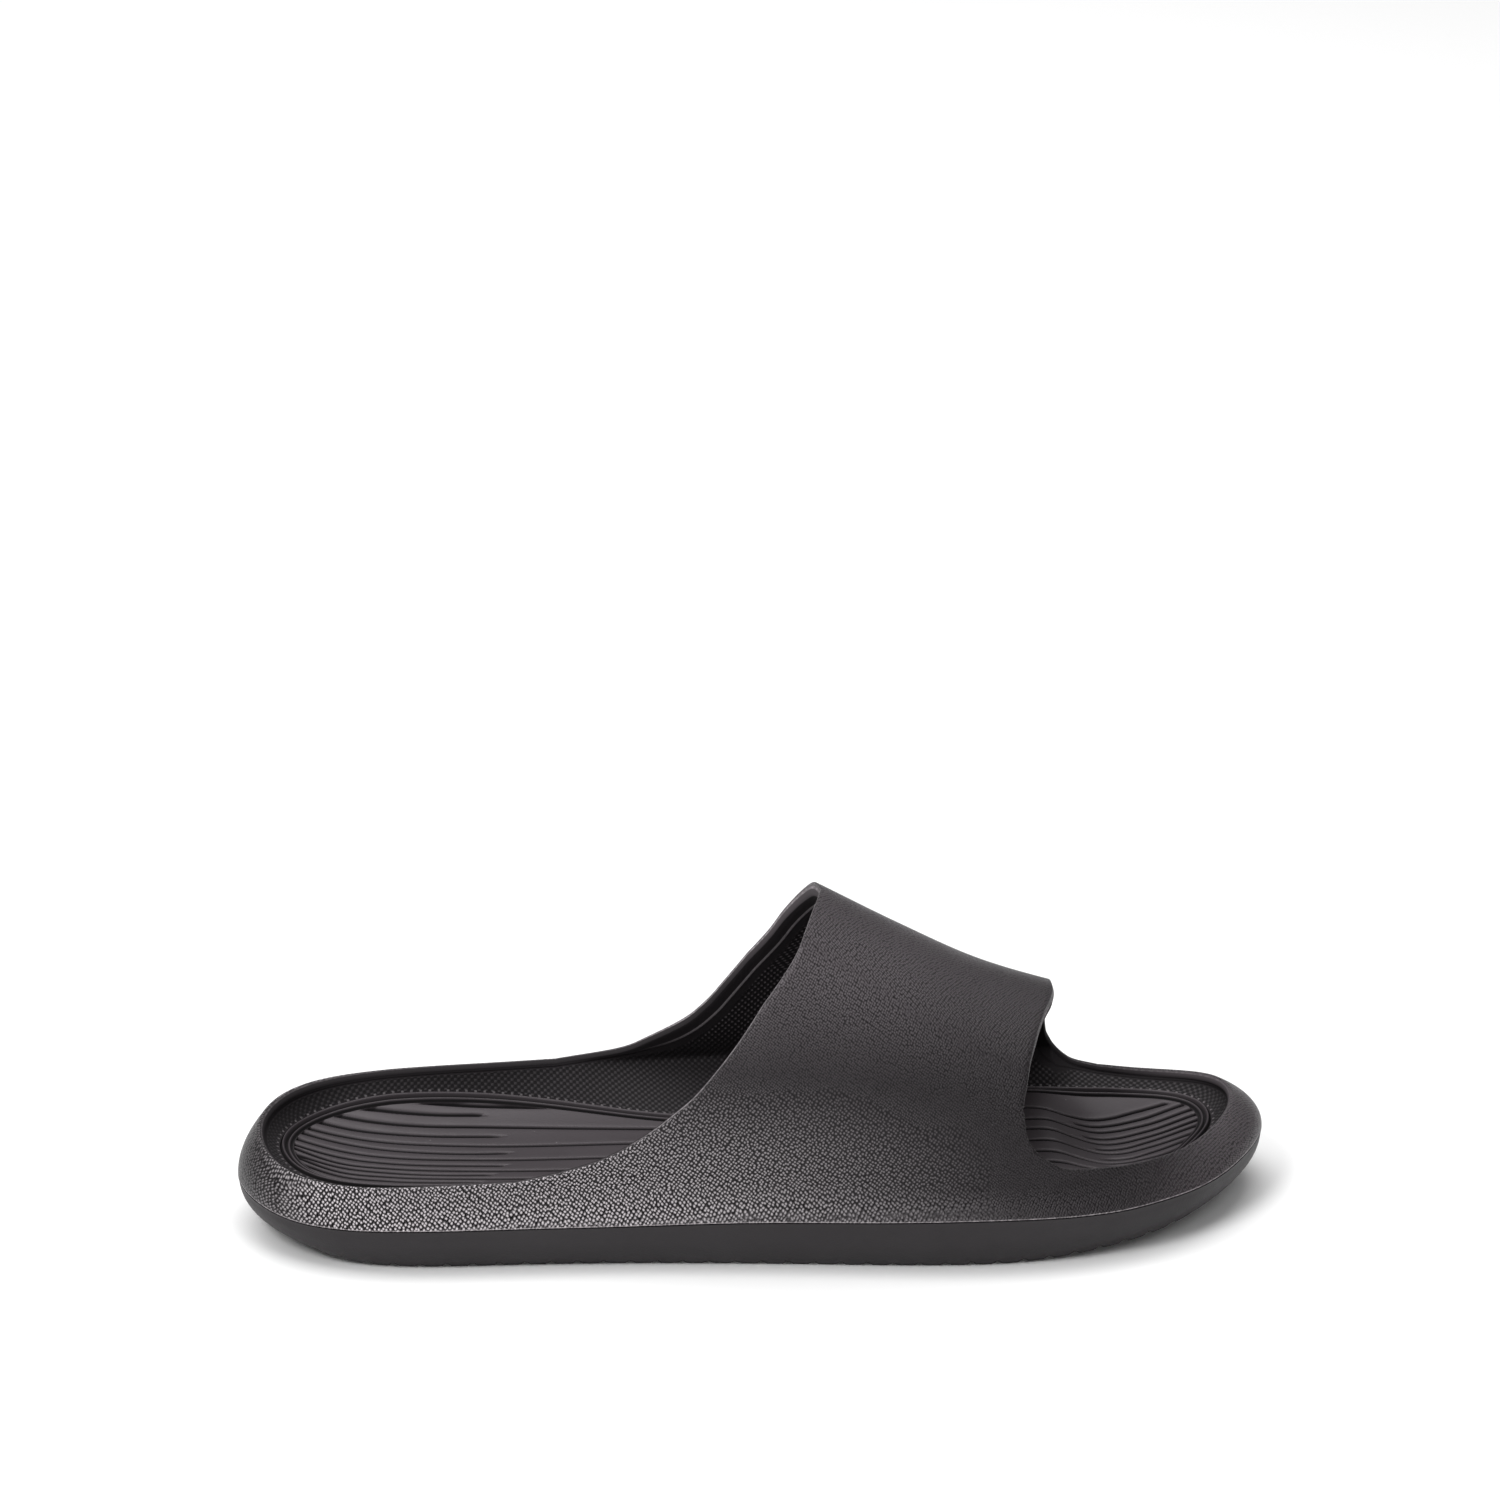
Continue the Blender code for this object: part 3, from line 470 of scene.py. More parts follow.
class ClosedCurve:
    """Closed cubic spline through rows of values, with smooth slope and bend all round."""

    def __init__(self, values):
        rows = np.array(values, float)
        chords = np.linalg.norm(np.roll(rows, -1, axis=0)[:, :2] - rows[:, :2], axis=1)
        self.knots = np.concatenate(([0.0], np.cumsum(np.sqrt(chords))))
        self.rows = np.vstack([rows, rows[:1]])
        after = np.diff(self.knots)
        before = np.roll(after, 1)
        index = np.arange(len(rows))
        matrix = np.diag((before + after) / 3)
        matrix[index, (index + 1) % len(rows)] += after / 6
        matrix[index, index - 1] += before / 6
        rise = (np.roll(rows, -1, axis=0) - rows) / after[:, None]
        fall = (rows - np.roll(rows, 1, axis=0)) / before[:, None]
        bends = np.linalg.solve(matrix, rise - fall)
        self.bends = np.vstack([bends, bends[:1]])

    def at(self, place):
        """The spline's rows at places along it."""
        place = np.mod(place, self.knots[-1])
        piece = np.searchsorted(self.knots, place, side="right") - 1
        piece = np.clip(piece, 0, len(self.knots) - 2)
        step = (self.knots[piece + 1] - self.knots[piece])[..., None]
        b = (place - self.knots[piece])[..., None] / step
        a = 1.0 - b
        line = a * self.rows[piece] + b * self.rows[piece + 1]
        bow = (a ** 3 - a) * self.bends[piece] + (b ** 3 - b) * self.bends[piece + 1]
        return line + bow * step ** 2 / 6


class Form:
    """The plan outline, with crest, ring width and border height at every place, and heights."""

    def __init__(self, sizes):
        self.sizes = sizes
        rows = []
        for _, along, across, crest, ring, border, roll in PERIMETER:
            widen = smoothstep((along - WIDEN_FROM) / (WIDEN_TO - WIDEN_FROM))
            half = 0.5 * (sizes.heel_width + (sizes.ball_width - sizes.heel_width) * widen)
            rows.append((
                along * sizes.length, across * half, crest * sizes.rim_height,
                ring * RING_WIDTH, border * sizes.bed_height, roll,
            ))
        self.curve = ClosedCurve(rows)
        round_trip = np.linspace(0.0, self.curve.knots[-1], OUTLINE_SCAN)
        raw = self.curve.at(round_trip)
        back = round_trip[np.argmin(raw[:-1, 0])]
        if back > 0.5 * round_trip[-1]:
            back -= round_trip[-1]
        self.places = back + round_trip
        raw = self.curve.at(self.places)
        self.tip = int(np.argmax(raw[:, 0]))
        self.low = raw[:, :2].min(axis=0)
        self.high = raw[:, :2].max(axis=0)
        self.scan = self.rows(self.places)

    def rows(self, place):
        """Rows of the curve, with x and y stretched to the exact length and ball width."""
        rows = self.curve.at(place)
        size = self.high - self.low
        rows[..., 0] = (rows[..., 0] - self.low[0]) * self.sizes.length / size[0]
        middle = 0.5 * (self.low[1] + self.high[1])
        rows[..., 1] = (rows[..., 1] - middle) * self.sizes.ball_width / size[1]
        return rows

    def place_at(self, side, x):
        """The place on the outer (-1) or inner (+1) half of the outline that lies at x."""
        if side < 0:
            return np.interp(x, self.scan[:self.tip + 1, 0], self.places[:self.tip + 1])
        return np.interp(x, self.scan[self.tip:, 0][::-1], self.places[self.tip:][::-1])

    def half(self, side):
        """The places of the heel back and the toe tip, as that half counts them."""
        heel = self.places[0] if side < 0 else self.places[-1]
        return heel, self.places[self.tip]

    def stations(self, share):
        """Places at shares of the outer half, and those straight across on the inner half."""
        heel, tip = self.half(-1)
        outer = heel + (tip - heel) * share
        inner = self.place_at(1, self.rows(outer)[:, 0])
        inner[0], inner[-1] = self.half(1)
        return outer, inner

    def lengthwise(self, index, x):
        """One column of the lengthwise table at x."""
        along = column(LENGTHWISE, 0) * self.sizes.length
        return curve_through(along, column(LENGTHWISE, index), x)

    def parting_height(self, x):
        """Height of the line where the upper sits on the sole."""
        return self.sizes.parting * self.lengthwise(1, x)

    def bed_height(self, x):
        """Height of the middle of the footbed, with the dip behind the toe bar."""
        return self.sizes.bed_height * self.lengthwise(2, x) - TOE_DIP * self.lengthwise(3, x)

    def bottom_height(self, x):
        """Height of the sole's bottom: lifted at the heel's back edge and sprung at the toe."""
        lift = self.sizes.heel_lift * self.lengthwise(4, x)
        return np.maximum(lift + self.sizes.toe_spring * self.lengthwise(5, x), 0.0)

    def ridge_height(self, x):
        """Height of the strap's ridge line, also past its two ends, where it only guides."""
        rise = curve_through(column(RIDGE, 0) * self.sizes.length, column(RIDGE, 1), x)
        return self.sizes.strap_front + rise * (self.sizes.instep_height - self.sizes.strap_front)


class Ribs:
    """Straight ribs in plan, from places on the outline in towards the middle line."""

    def __init__(self, form, place):
        self.form = form
        sizes = form.sizes
        rows = form.rows(np.asarray(place, float))
        columns = np.moveaxis(rows, -1, 0)
        self.x, self.y, self.crest, self.ring, self.border, self.roll = columns
        self.middle_x = np.clip(self.x, HEEL_CENTRE * sizes.length, TOE_CENTRE * sizes.length)
        run_x = self.middle_x - self.x
        run_y = RIDGE_OFFSET - self.y
        self.reach = np.hypot(run_x, run_y)
        self.step_x = run_x / self.reach
        self.step_y = run_y / self.reach
        along = self.x / sizes.length
        toward_toe = smoothstep((along - TOE_LEAN_FROM) / (TOE_LEAN_TO - TOE_LEAN_FROM))
        self.lean = SIDE_LEAN + (TOE_LEAN - SIDE_LEAN) * toward_toe
        self.parting = form.parting_height(self.x)
        self.ridge = form.ridge_height(self.x)

    def points(self, inset, height):
        """Points that lie at an inset along the ribs, at a height."""
        x = self.x + self.step_x * inset - 0.5 * self.form.sizes.length
        y = self.y + self.step_y * inset
        return np.stack(np.broadcast_arrays(x, y, height), axis=-1)

    def ground(self, inset):
        """The x of such points, counted from the heel back."""
        return self.x + self.step_x * inset

    def shares(self, height):
        """How far up the flare and the dome a height lies."""
        over = height - self.parting
        flare = np.clip(over / (self.crest - self.parting), 0.0, 1.0)
        dome = np.clip(over / (self.ridge - self.parting), 0.0, 1.0)
        return flare, dome

    def outer_inset(self, height):
        """Inset of the outer face: a flare or a roll up to the rim, then an ellipse."""
        flare, dome = self.shares(height)
        lean = self.lean * ((1.0 - self.roll) * (1.0 - (1.0 - flare) ** 2) + self.roll * flare ** 2)
        return lean + (self.reach - self.lean) * (1.0 - np.sqrt(1.0 - dome ** 2))

    def outer_slope(self, height):
        """How fast that inset grows with height."""
        flare, dome = self.shares(height)
        dome = np.minimum(dome, 1.0 - SLOPE_LIMIT)
        lean = 2.0 * self.lean * ((1.0 - self.roll) * (1.0 - flare) + self.roll * flare)
        rise = (self.reach - self.lean) * dome / np.sqrt(1.0 - dome ** 2)
        return lean / (self.crest - self.parting) + rise / (self.ridge - self.parting)

    def wall(self, height):
        """Wall thickness: thin at the rim, full on the strap."""
        sizes = self.form.sizes
        grown = smoothstep((height - sizes.rim_height) / WALL_BLEND)
        return sizes.rim_wall + (sizes.strap_wall - sizes.rim_wall) * grown

    def lining(self, height):
        """Inset and height of the point a wall's thickness inside the outer face."""
        slope = self.outer_slope(height)
        size = np.sqrt(1.0 + slope ** 2)
        wall = self.wall(height)
        return self.outer_inset(height) + wall / size, height - wall * slope / size

    def level_lining(self, height):
        """Inset of the inner face at a height, with the wall measured square to the face."""
        slope = self.outer_slope(height)
        return self.outer_inset(height) + self.wall(height) * np.sqrt(1.0 + slope ** 2)


def edge_row(form, index, step):
    """Where a strap edge is at a step down its table: the share of height and the x."""
    steps = np.arange(len(STRAP_EDGES), dtype=float)
    turn = curve_through(steps, column(STRAP_EDGES, 0), step)
    along = curve_through(steps, column(STRAP_EDGES, index), step)
    return np.sin(0.5 * np.pi * turn), along * form.sizes.length


def edge_columns(side):
    """The table columns of the collar edge and the front edge on a side."""
    return (1, 3) if side < 0 else (2, 4)


def lower_columns(form, side):
    """Places and top heights of the columns that rise from the sole, heel to toe."""
    collar, front = edge_columns(side)
    heel, tip = form.half(side)
    rise = np.linspace(0.0, SHOULDER, EDGE_COLUMNS + 1)
    collar_share, collar_x = edge_row(form, collar, rise)
    front_share, front_x = edge_row(form, front, rise[::-1])
    strap_x = np.linspace(collar_x[-1], front_x[0], STRAP_COLUMNS + 1)
    strap_share = np.full(STRAP_COLUMNS + 1, collar_share[-1])
    heel_places = np.linspace(heel, form.place_at(side, collar_x[0]), HEEL_COLUMNS + 1)
    toe_places = np.linspace(form.place_at(side, front_x[-1]), tip, TOE_COLUMNS + 1)
    x = np.concatenate((collar_x, strap_x[1:-1], front_x))
    places = np.concatenate((heel_places[:-1], form.place_at(side, x), toe_places[1:]))
    rise = np.concatenate((
        np.zeros(HEEL_COLUMNS), collar_share, strap_share[1:-1], front_share, np.zeros(TOE_COLUMNS),
    ))
    return places, rise


def lower_sheets(form, side):
    """Outer and inner faces of the columns from the sole up to the rim or the shoulder."""
    places, rise = lower_columns(form, side)
    ribs = Ribs(form, places[:, None])
    top = ribs.crest + rise[:, None] * (ribs.ridge - ribs.crest)
    seat = ribs.parting + 0.5 * SEAT_GAP
    share = np.linspace(0.0, 1.0, LOWER_ROWS + 1)[None, :]
    height = seat + (top - seat) * share ** OUTER_SPACING
    outer = ribs.points(ribs.outer_inset(height), height)

    edge_inset, edge_height = ribs.lining(top)
    room = edge_height - ribs.border
    height = ribs.border + room * share ** INNER_SPACING
    shift = edge_inset - ribs.level_lining(edge_height)
    inset = ribs.level_lining(height) + shift * share ** INNER_SPACING
    left = np.clip(1.0 - (height - ribs.border) / np.minimum(CREASE_HEIGHT, room), 0.0, 1.0)
    base = ribs.level_lining(ribs.border)
    inset = inset + (ribs.ring - base) * left ** SLOPE_HOLLOW
    wall = ribs.points(inset, height)
    foot_height = form.parting_height(ribs.ground(ribs.ring)) + 0.5 * SEAT_GAP
    foot = ribs.points(ribs.ring, foot_height)
    return outer, wall, foot


def upper_sheets(form, side):
    """Outer and inner faces of the strap, from its shoulder up to the ridge."""
    collar, front = edge_columns(side)
    steps = np.linspace(SHOULDER, len(STRAP_EDGES) - 1.0, STRAP_ROWS + 1)
    collar_share, collar_x = edge_row(form, collar, steps)
    front_share, front_x = edge_row(form, front, steps)
    share = np.linspace(0.0, 1.0, STRAP_COLUMNS + 1)[:, None]
    x = collar_x + (front_x - collar_x) * share
    rise = collar_share + (front_share - collar_share) * share
    ribs = Ribs(form, form.place_at(side, x))
    height = ribs.crest + rise * (ribs.ridge - ribs.crest)
    outer = ribs.points(ribs.outer_inset(height), height)
    inset, level = ribs.lining(height)
    inner = ribs.points(inset, level)
    inner[:, -1, 1] = outer[:, -1, 1]
    return outer, inner


def rim_strip(outer, inner, inside):
    """Rounded edge along one closed loop: half a circle laid over the line across the wall."""
    along = np.roll(outer, -1, axis=0) - np.roll(outer, 1, axis=0)
    across = inner - outer
    out = np.cross(along, across)
    out /= np.linalg.norm(out, axis=1)[:, None]
    out *= np.sign(np.sum(out * (outer - inside), axis=1))[:, None]
    turn = np.linspace(0.0, np.pi, RIM_ROWS + 1)[None, :, None]
    share = 0.5 - 0.5 * np.cos(turn)
    strip = outer[:, None] + across[:, None] * share + out[:, None] * EDGE_ROUND * np.sin(turn)
    return np.concatenate((strip, strip[:1]), axis=0)


def opening_loops(lower, upper):
    """The two loops of edge points, with a point inside the sheet next to each of them."""
    first = HEEL_COLUMNS + EDGE_COLUMNS
    last = first + STRAP_COLUMNS
    loops = []
    for start, stop, column_at, next_at in ((0, first, 0, 1), (last, None, -1, -2)):
        halves = []
        for side in (-1, 1):
            low = lower[side][start:stop]
            edge = low[:, -1]
            inside = low[:, -2]
            if column_at == -1:
                edge = edge[:0:-1]
                inside = inside[:0:-1]
            halves.append((
                np.concatenate((edge, upper[side][column_at])),
                np.concatenate((inside, upper[side][next_at])),
            ))
        edge = np.concatenate((halves[0][0], halves[1][0][::-1][1:-1]))
        inside = np.concatenate((halves[0][1], halves[1][1][::-1][1:-1]))
        loops.append((edge, inside))
    return loops


def run_lengths(points, axis):
    """Running length along one direction of a grid of points, from its first row or column."""
    steps = np.linalg.norm(np.diff(points, axis=axis), axis=-1)
    start = np.zeros_like(np.take(steps, [0], axis=axis))
    return np.cumsum(np.concatenate((start, steps), axis=axis), axis=axis)


def finer(loop, parts):
    """A closed loop of points with each step cut into equal parts."""
    share = np.linspace(0.0, 1.0, parts, endpoint=False)[None, :, None]
    steps = loop[:, None] * (1.0 - share) + np.roll(loop, -1, axis=0)[:, None] * share
    return steps.reshape(-1, 3)


def nearest_distance(points, targets, block=2048):
    """Distance from each point to the nearest target point."""
    flat = points.reshape(-1, 3)
    parts = []
    for start in range(0, len(flat), block):
        away = flat[start:start + block, None] - targets[None]
        parts.append(np.sqrt(np.min(np.einsum("ijk,ijk->ij", away, away), axis=1)))
    return np.concatenate(parts).reshape(points.shape[:-1])


class Sheets:
    """Collects grids of points, with values for each point, and welds them into one mesh."""

    def __init__(self, *value_names):
        self.value_names = value_names
        self.points = []
        self.facing = []
        self.faces = []
        self.values = {name: [] for name in value_names}
        self.count = 0

    def add(self, points, flip=False, **values):
        """Add a grid of points; each cell of it becomes a four-sided face."""
        rows, columns = points.shape[:2]
        index = self.count + np.arange(rows * columns).reshape(rows, columns)
        faces = np.stack((index[:-1, :-1], index[1:, :-1], index[1:, 1:], index[:-1, 1:]), axis=-1)
        faces = faces.reshape(-1, 4)
        self.faces.append(faces[:, ::-1] if flip else faces)
        self.points.append(points.reshape(-1, 3))
        self.facing.append(facing_shares(points).reshape(-1, 3))
        for name in self.value_names:
            value = np.broadcast_to(values.get(name, 0.0), (rows, columns))
            self.values[name].append(value.reshape(-1))
        self.count += rows * columns

    def finish(self, name, material):
        """Weld the grids into one closed body with outward faces and make the object."""
        data = bpy.data.meshes.new(name)
        points = np.concatenate(self.points)
        faces = np.concatenate(self.faces)
        data.vertices.add(len(points))
        data.vertices.foreach_set("co", points.astype(np.float32).ravel())
        data.loops.add(faces.size)
        data.loops.foreach_set("vertex_index", faces.astype(np.int32).ravel())
        data.polygons.add(len(faces))
        data.polygons.foreach_set("loop_start", np.arange(0, faces.size, 4, dtype=np.int32))
        data.update(calc_edges=True)
        facing = data.attributes.new("facing", "FLOAT_VECTOR", "POINT")
        facing.data.foreach_set("vector", np.concatenate(self.facing).astype(np.float32).ravel())
        for value_name in self.value_names:
            layer = data.attributes.new(value_name, "FLOAT", "POINT")
            values = np.concatenate(self.values[value_name])
            layer.data.foreach_set("value", values.astype(np.float32))
        body = bmesh.new()
        body.from_mesh(data)
        bmesh.ops.remove_doubles(body, verts=body.verts, dist=WELD)
        bmesh.ops.dissolve_degenerate(body, edges=body.edges, dist=WELD)
        bmesh.ops.recalc_face_normals(body, faces=body.faces)
        closed = all(edge.is_manifold for edge in body.edges)
        body.to_mesh(data)
        body.free()
        if not closed:
            raise RuntimeError(name + " isn't a closed body")
        data.shade_smooth()
        data.set_sharp_from_angle(angle=SHARP_ANGLE)
        data.materials.append(material)
        piece = bpy.data.objects.new(name, data)
        bpy.context.scene.collection.objects.link(piece)
        return piece


class PlanFinder:
    """Finds, for any point in plan, its rib and how far in from the outline it lies."""

    def __init__(self, form):
        self.form = form
        self.fans = []
        for share, turned in ((HEEL_CENTRE, -1.0), (TOE_CENTRE, 1.0)):
            centre = share * form.sizes.length
            forward = turned * (form.scan[:, 0] - centre)
            angle = np.arctan2(form.scan[:, 1] - RIDGE_OFFSET, forward)
            places = form.places
            if turned < 0.0:
                inner_half = places > places[form.tip]
                places = np.where(inner_half, places - form.curve.knots[-1], places)
            fan = forward >= 0.0
            order = np.argsort(angle[fan])
            self.fans.append((centre, turned, angle[fan][order], places[fan][order]))

    def rib_places(self, x, y):
        """The place on the outline of the rib through each point."""
        place = np.where(y < RIDGE_OFFSET, self.form.place_at(-1, x), self.form.place_at(1, x))
        for centre, turned, angles, places in self.fans:
            beyond = turned * (x - centre) > 0.0
            angle = np.arctan2(y - RIDGE_OFFSET, turned * (x - centre))
            place = np.where(beyond, np.interp(angle, angles, places), place)
        return place


def groove_shares(sizes, x, y):
    """Shares of depth of the footbed's grooves in plan: hollows along the lines, blunt at the ends.

    The hollow is a flat-topped bell curve of the distance to the line, which falls with its fourth
    power; a wider and softer one, with the square, rounds the ribs beside it.
    """
    narrow = np.zeros_like(x)
    wide = np.zeros_like(x)
    half = 0.5 * sizes.groove_width
    for line in GROOVE_LINES:
        along = column(line, 0) * sizes.length
        across = column(line, 1) * sizes.ball_width
        at = np.clip(x, along[0], along[-1])
        centre = curve_through(along, across, at)
        slope = np.interp(at, along, np.gradient(across, along))
        off = (y - centre) / np.sqrt(1.0 + slope ** 2)
        past = x - at
        distance = np.hypot(off, past)
        narrow = np.maximum(narrow, np.exp(-(distance / half) ** 4))
        wide = np.maximum(wide, np.exp(-(distance / (RIB_SPREAD * half)) ** 2))
    return narrow, (narrow + RIB_CROWN * wide) / (1.0 + RIB_CROWN)


def half_round(inset, start, width):
    """Half a circle's rise, from 0 to 1, over a width that begins at start."""
    over = np.clip((inset - start) / width, 0.0, 1.0)
    return np.sqrt(np.clip(1.0 - (2.0 * over - 1.0) ** 2, 0.0, 1.0))


def channel_share(inset):
    """Share of depth of the two channels (bell curves) and of the joint at the border."""
    first = np.exp(-((inset - BEAD_CHANNEL) / (0.5 * CHANNEL_WIDTH)) ** 2)
    second = np.exp(-((inset - SECOND_CHANNEL) / (0.5 * CHANNEL_WIDTH)) ** 2)
    joint = 1.0 - smoothstep(inset / JOINT_WIDTH)
    return np.maximum(np.maximum(first, second), joint)


def bead_height(sizes, inset):
    """Height of the border over the dish: two half rounds, less the channels beside them."""
    first = half_round(inset, 0.0, BEAD_ROUND)
    middle = 0.5 * (BEAD_CHANNEL + SECOND_CHANNEL)
    second = SECOND_RISE * half_round(inset, middle - 0.5 * SECOND_ROUND, SECOND_ROUND)
    return sizes.bead_height * (first + second) - CHANNEL_DEPTH * channel_share(inset)


def dish_height(form, ribs, x, inset):
    """Height of the dish: from the border down to the middle, hollow like a power curve."""
    room = np.maximum(ribs.reach - ribs.ring, BEAD_BAND)
    share = np.clip(inset / room, 0.0, 1.0)
    middle = form.bed_height(x)
    return middle + (ribs.border - middle) * (1.0 - share) ** DISH_HOLLOW


def add_node(tree, kind, inputs=None, **settings):
    """Add a node with its settings; an input is a value, or a socket that is linked to it."""
    node = tree.nodes.new(kind)
    for name, value in settings.items():
        setattr(node, name, value)
    for key, value in (inputs or {}).items():
        if isinstance(value, bpy.types.NodeSocket):
            tree.links.new(value, node.inputs[key])
        else:
            node.inputs[key].default_value = value
    return node


def new_material(name):
    """A new node material, with its tree and its shader."""
    material = bpy.data.materials.new(name)
    material.use_nodes = True
    tree = material.node_tree
    return material, tree, tree.nodes["Principled BSDF"]


def facing_shares(points):
    """How much each point of a grid faces along x, y and z: its normal's parts to a high power."""
    along = np.gradient(points, axis=0)
    across = np.gradient(points, axis=1)
    normal = np.cross(along, across)
    parts = np.abs(normal) / np.maximum(np.linalg.norm(normal, axis=-1, keepdims=True), TINY)
    parts = parts ** FACING_POWER
    return parts / np.maximum(parts.sum(axis=-1, keepdims=True), TINY)


def ramp(tree, value, low, high, start=0.0, stop=1.0, smooth=True):
    """Map a value from low to high on to start to stop, eased unless told otherwise."""
    return add_node(
        tree, "ShaderNodeMapRange",
        {"Value": value, "From Min": low, "From Max": high, "To Min": start, "To Max": stop},
        interpolation_type="SMOOTHSTEP" if smooth else "LINEAR",
    ).outputs[0]


def combine(tree, operation, first, second):
    """One sum or other operation on two values or sockets."""
    return add_node(
        tree, "ShaderNodeMath", {0: first, 1: second}, operation=operation,
    ).outputs[0]


def product(tree, first, *others):
    """Product of values or sockets."""
    for other in others:
        first = combine(tree, "MULTIPLY", first, other)
    return first


def rest(tree, value):
    """What is left of 1."""
    return combine(tree, "SUBTRACT", 1.0, value)


def stripe(tree, value, unit, rise, fall):
    """1 between a ramp up and a ramp down of a value counted in a unit, and 0 outside them."""
    value = combine(tree, "DIVIDE", value, unit)
    return product(tree, ramp(tree, value, *rise), ramp(tree, value, *fall, 1.0, 0.0))


def mix(tree, share, first, second):
    """Go from the first value to the second by a share."""
    return add_node(
        tree, "ShaderNodeMix", {"Factor": share, "A": first, "B": second}, data_type="FLOAT",
    ).outputs["Result"]


def blend(tree, share, first, second):
    """Go from the first colour to the second by a share; each is a colour or a socket."""
    ends = []
    for color in (first, second):
        ends.append(color if isinstance(color, bpy.types.NodeSocket) else (*color, 1.0))
    return add_node(
        tree, "ShaderNodeMix", {"Factor": share, "A": ends[0], "B": ends[1]}, data_type="RGBA",
    ).outputs["Result"]


def noise(tree, place, scale, detail):
    """Cloudy noise from about 0.3 to 0.7, with about this many waves in a metre."""
    return add_node(
        tree, "ShaderNodeTexNoise", {"Vector": place, "Scale": scale, "Detail": detail},
    ).outputs["Fac"]


def finish_foam(tree, shader, color, gloss):
    """Link colour and roughness, and give the foam its low, slightly pink shine."""
    tree.links.new(color, shader.inputs["Base Color"])
    tree.links.new(gloss, shader.inputs["Roughness"])
    shader.inputs["Specular IOR Level"].default_value = FOAM_SHINE
    shader.inputs["Specular Tint"].default_value = FOAM_TINT


def raise_surface(tree, shader, height):
    """Link a height in metres to the shader as a bump."""
    bump = add_node(tree, "ShaderNodeBump", {"Height": height, "Distance": 1.0, "Strength": 1.0})
    tree.links.new(bump.outputs["Normal"], shader.inputs["Normal"])


def wave(tree, value, pitch):
    """Cosine of a running length, with one top in every pitch."""
    turns = combine(tree, "MULTIPLY", value, 2.0 * np.pi / pitch)
    return combine(tree, "COSINE", turns, 0.0)


def pebbles(tree, place, size):
    """Distance from the nearest pebble's middle, as a share of the pebbles' pitch.

    Flat cells on each of the three planes, mixed by how much the surface faces each plane. Their
    rows are turned, so that they run aslant over the foam.
    """
    parts = add_node(tree, "ShaderNodeSeparateXYZ", {"Vector": place}).outputs
    facing = add_node(tree, "ShaderNodeAttribute", attribute_name="facing").outputs["Vector"]
    shares = add_node(tree, "ShaderNodeSeparateXYZ", {"Vector": facing}).outputs
    total = 0.0
    for share, first, second in ((0, 1, 2), (1, 0, 2), (2, 0, 1)):
        flat = add_node(
            tree, "ShaderNodeCombineXYZ", {"X": parts[first], "Y": parts[second]},
        ).outputs[0]
        turned = add_node(
            tree, "ShaderNodeMapping", {"Vector": flat, "Rotation": (0.0, 0.0, ROW_TURN)},
        ).outputs[0]
        cells = add_node(
            tree, "ShaderNodeTexVoronoi",
            {"Vector": turned, "Scale": 1.0 / size, "Randomness": PEBBLE_SCATTER},
            voronoi_dimensions="2D",
        ).outputs["Distance"]
        total = combine(tree, "ADD", combine(tree, "MULTIPLY", cells, shares[share]), total)
    return total


class Skin:
    """What the upper's material reads at each point: its place and the mesh's own values."""

    def __init__(self, tree):
        self.place = add_node(tree, "ShaderNodeTexCoord").outputs["Object"]
        parts = add_node(tree, "ShaderNodeSeparateXYZ", {"Vector": self.place}).outputs
        self.length, self.up = parts["X"], parts["Z"]
        self.edge, self.inside, self.run, self.climb = (
            add_node(tree, "ShaderNodeAttribute", attribute_name=name).outputs["Fac"]
            for name in ("edge", "inside", "run", "climb")
        )
        self.outside = rest(tree, self.inside)


def pebble_distance(tree, skin, crisp, patches, sizes):
    """Distance from the nearest pebble's middle, with smaller pebbles where the grain is soft.

    The rows wander by a fifth of a millimetre, so they don't line up like a grid, and the size
    changes along a ragged line, so that no border shows.
    """
    drift = add_node(
        tree, "ShaderNodeTexNoise", {"Vector": skin.place, "Scale": ROW_BENDS, "Detail": 1.0},
    ).outputs["Color"]
    place = add_node(
        tree, "ShaderNodeVectorMath", {0: drift, 1: (ROW_WANDER,) * 3, 2: skin.place},
        operation="MULTIPLY_ADD",
    ).outputs[0]
    ragged = combine(tree, "ADD", crisp, product(tree, patches, RAGGED_BY))
    large = combine(tree, "GREATER_THAN", ragged, RAGGED_AT)
    small_pebbles = pebbles(tree, place, SOFT_SIZE * sizes.grain)
    return mix(tree, large, small_pebbles, pebbles(tree, place, sizes.grain))


def lining_dots(tree, skin, sizes):
    """Dots in staggered rows, the product of two cosines, and where the lining has them."""
    lined = product(
        tree, ramp(tree, skin.edge, 1.5 * LINING_LIP, 1.8 * LINING_LIP),
        ramp(tree, skin.climb, 0.7 * LINING_BORDER, LINING_BORDER),
    )
    rows = product(
        tree, wave(tree, skin.run, sizes.lining), wave(tree, skin.climb, sizes.lining),
    )
    return product(tree, ramp(tree, rows, *DOT_SIDES), lined), lined


def stud_row(tree, skin):
    """A row of small studs in the lining, just over the footbed."""
    return product(
        tree, ramp(tree, wave(tree, skin.run, STUD_PITCH), 0.4, 0.9),
        stripe(tree, skin.climb, STUD_TOP, *STUD_BAND), skin.inside,
    )


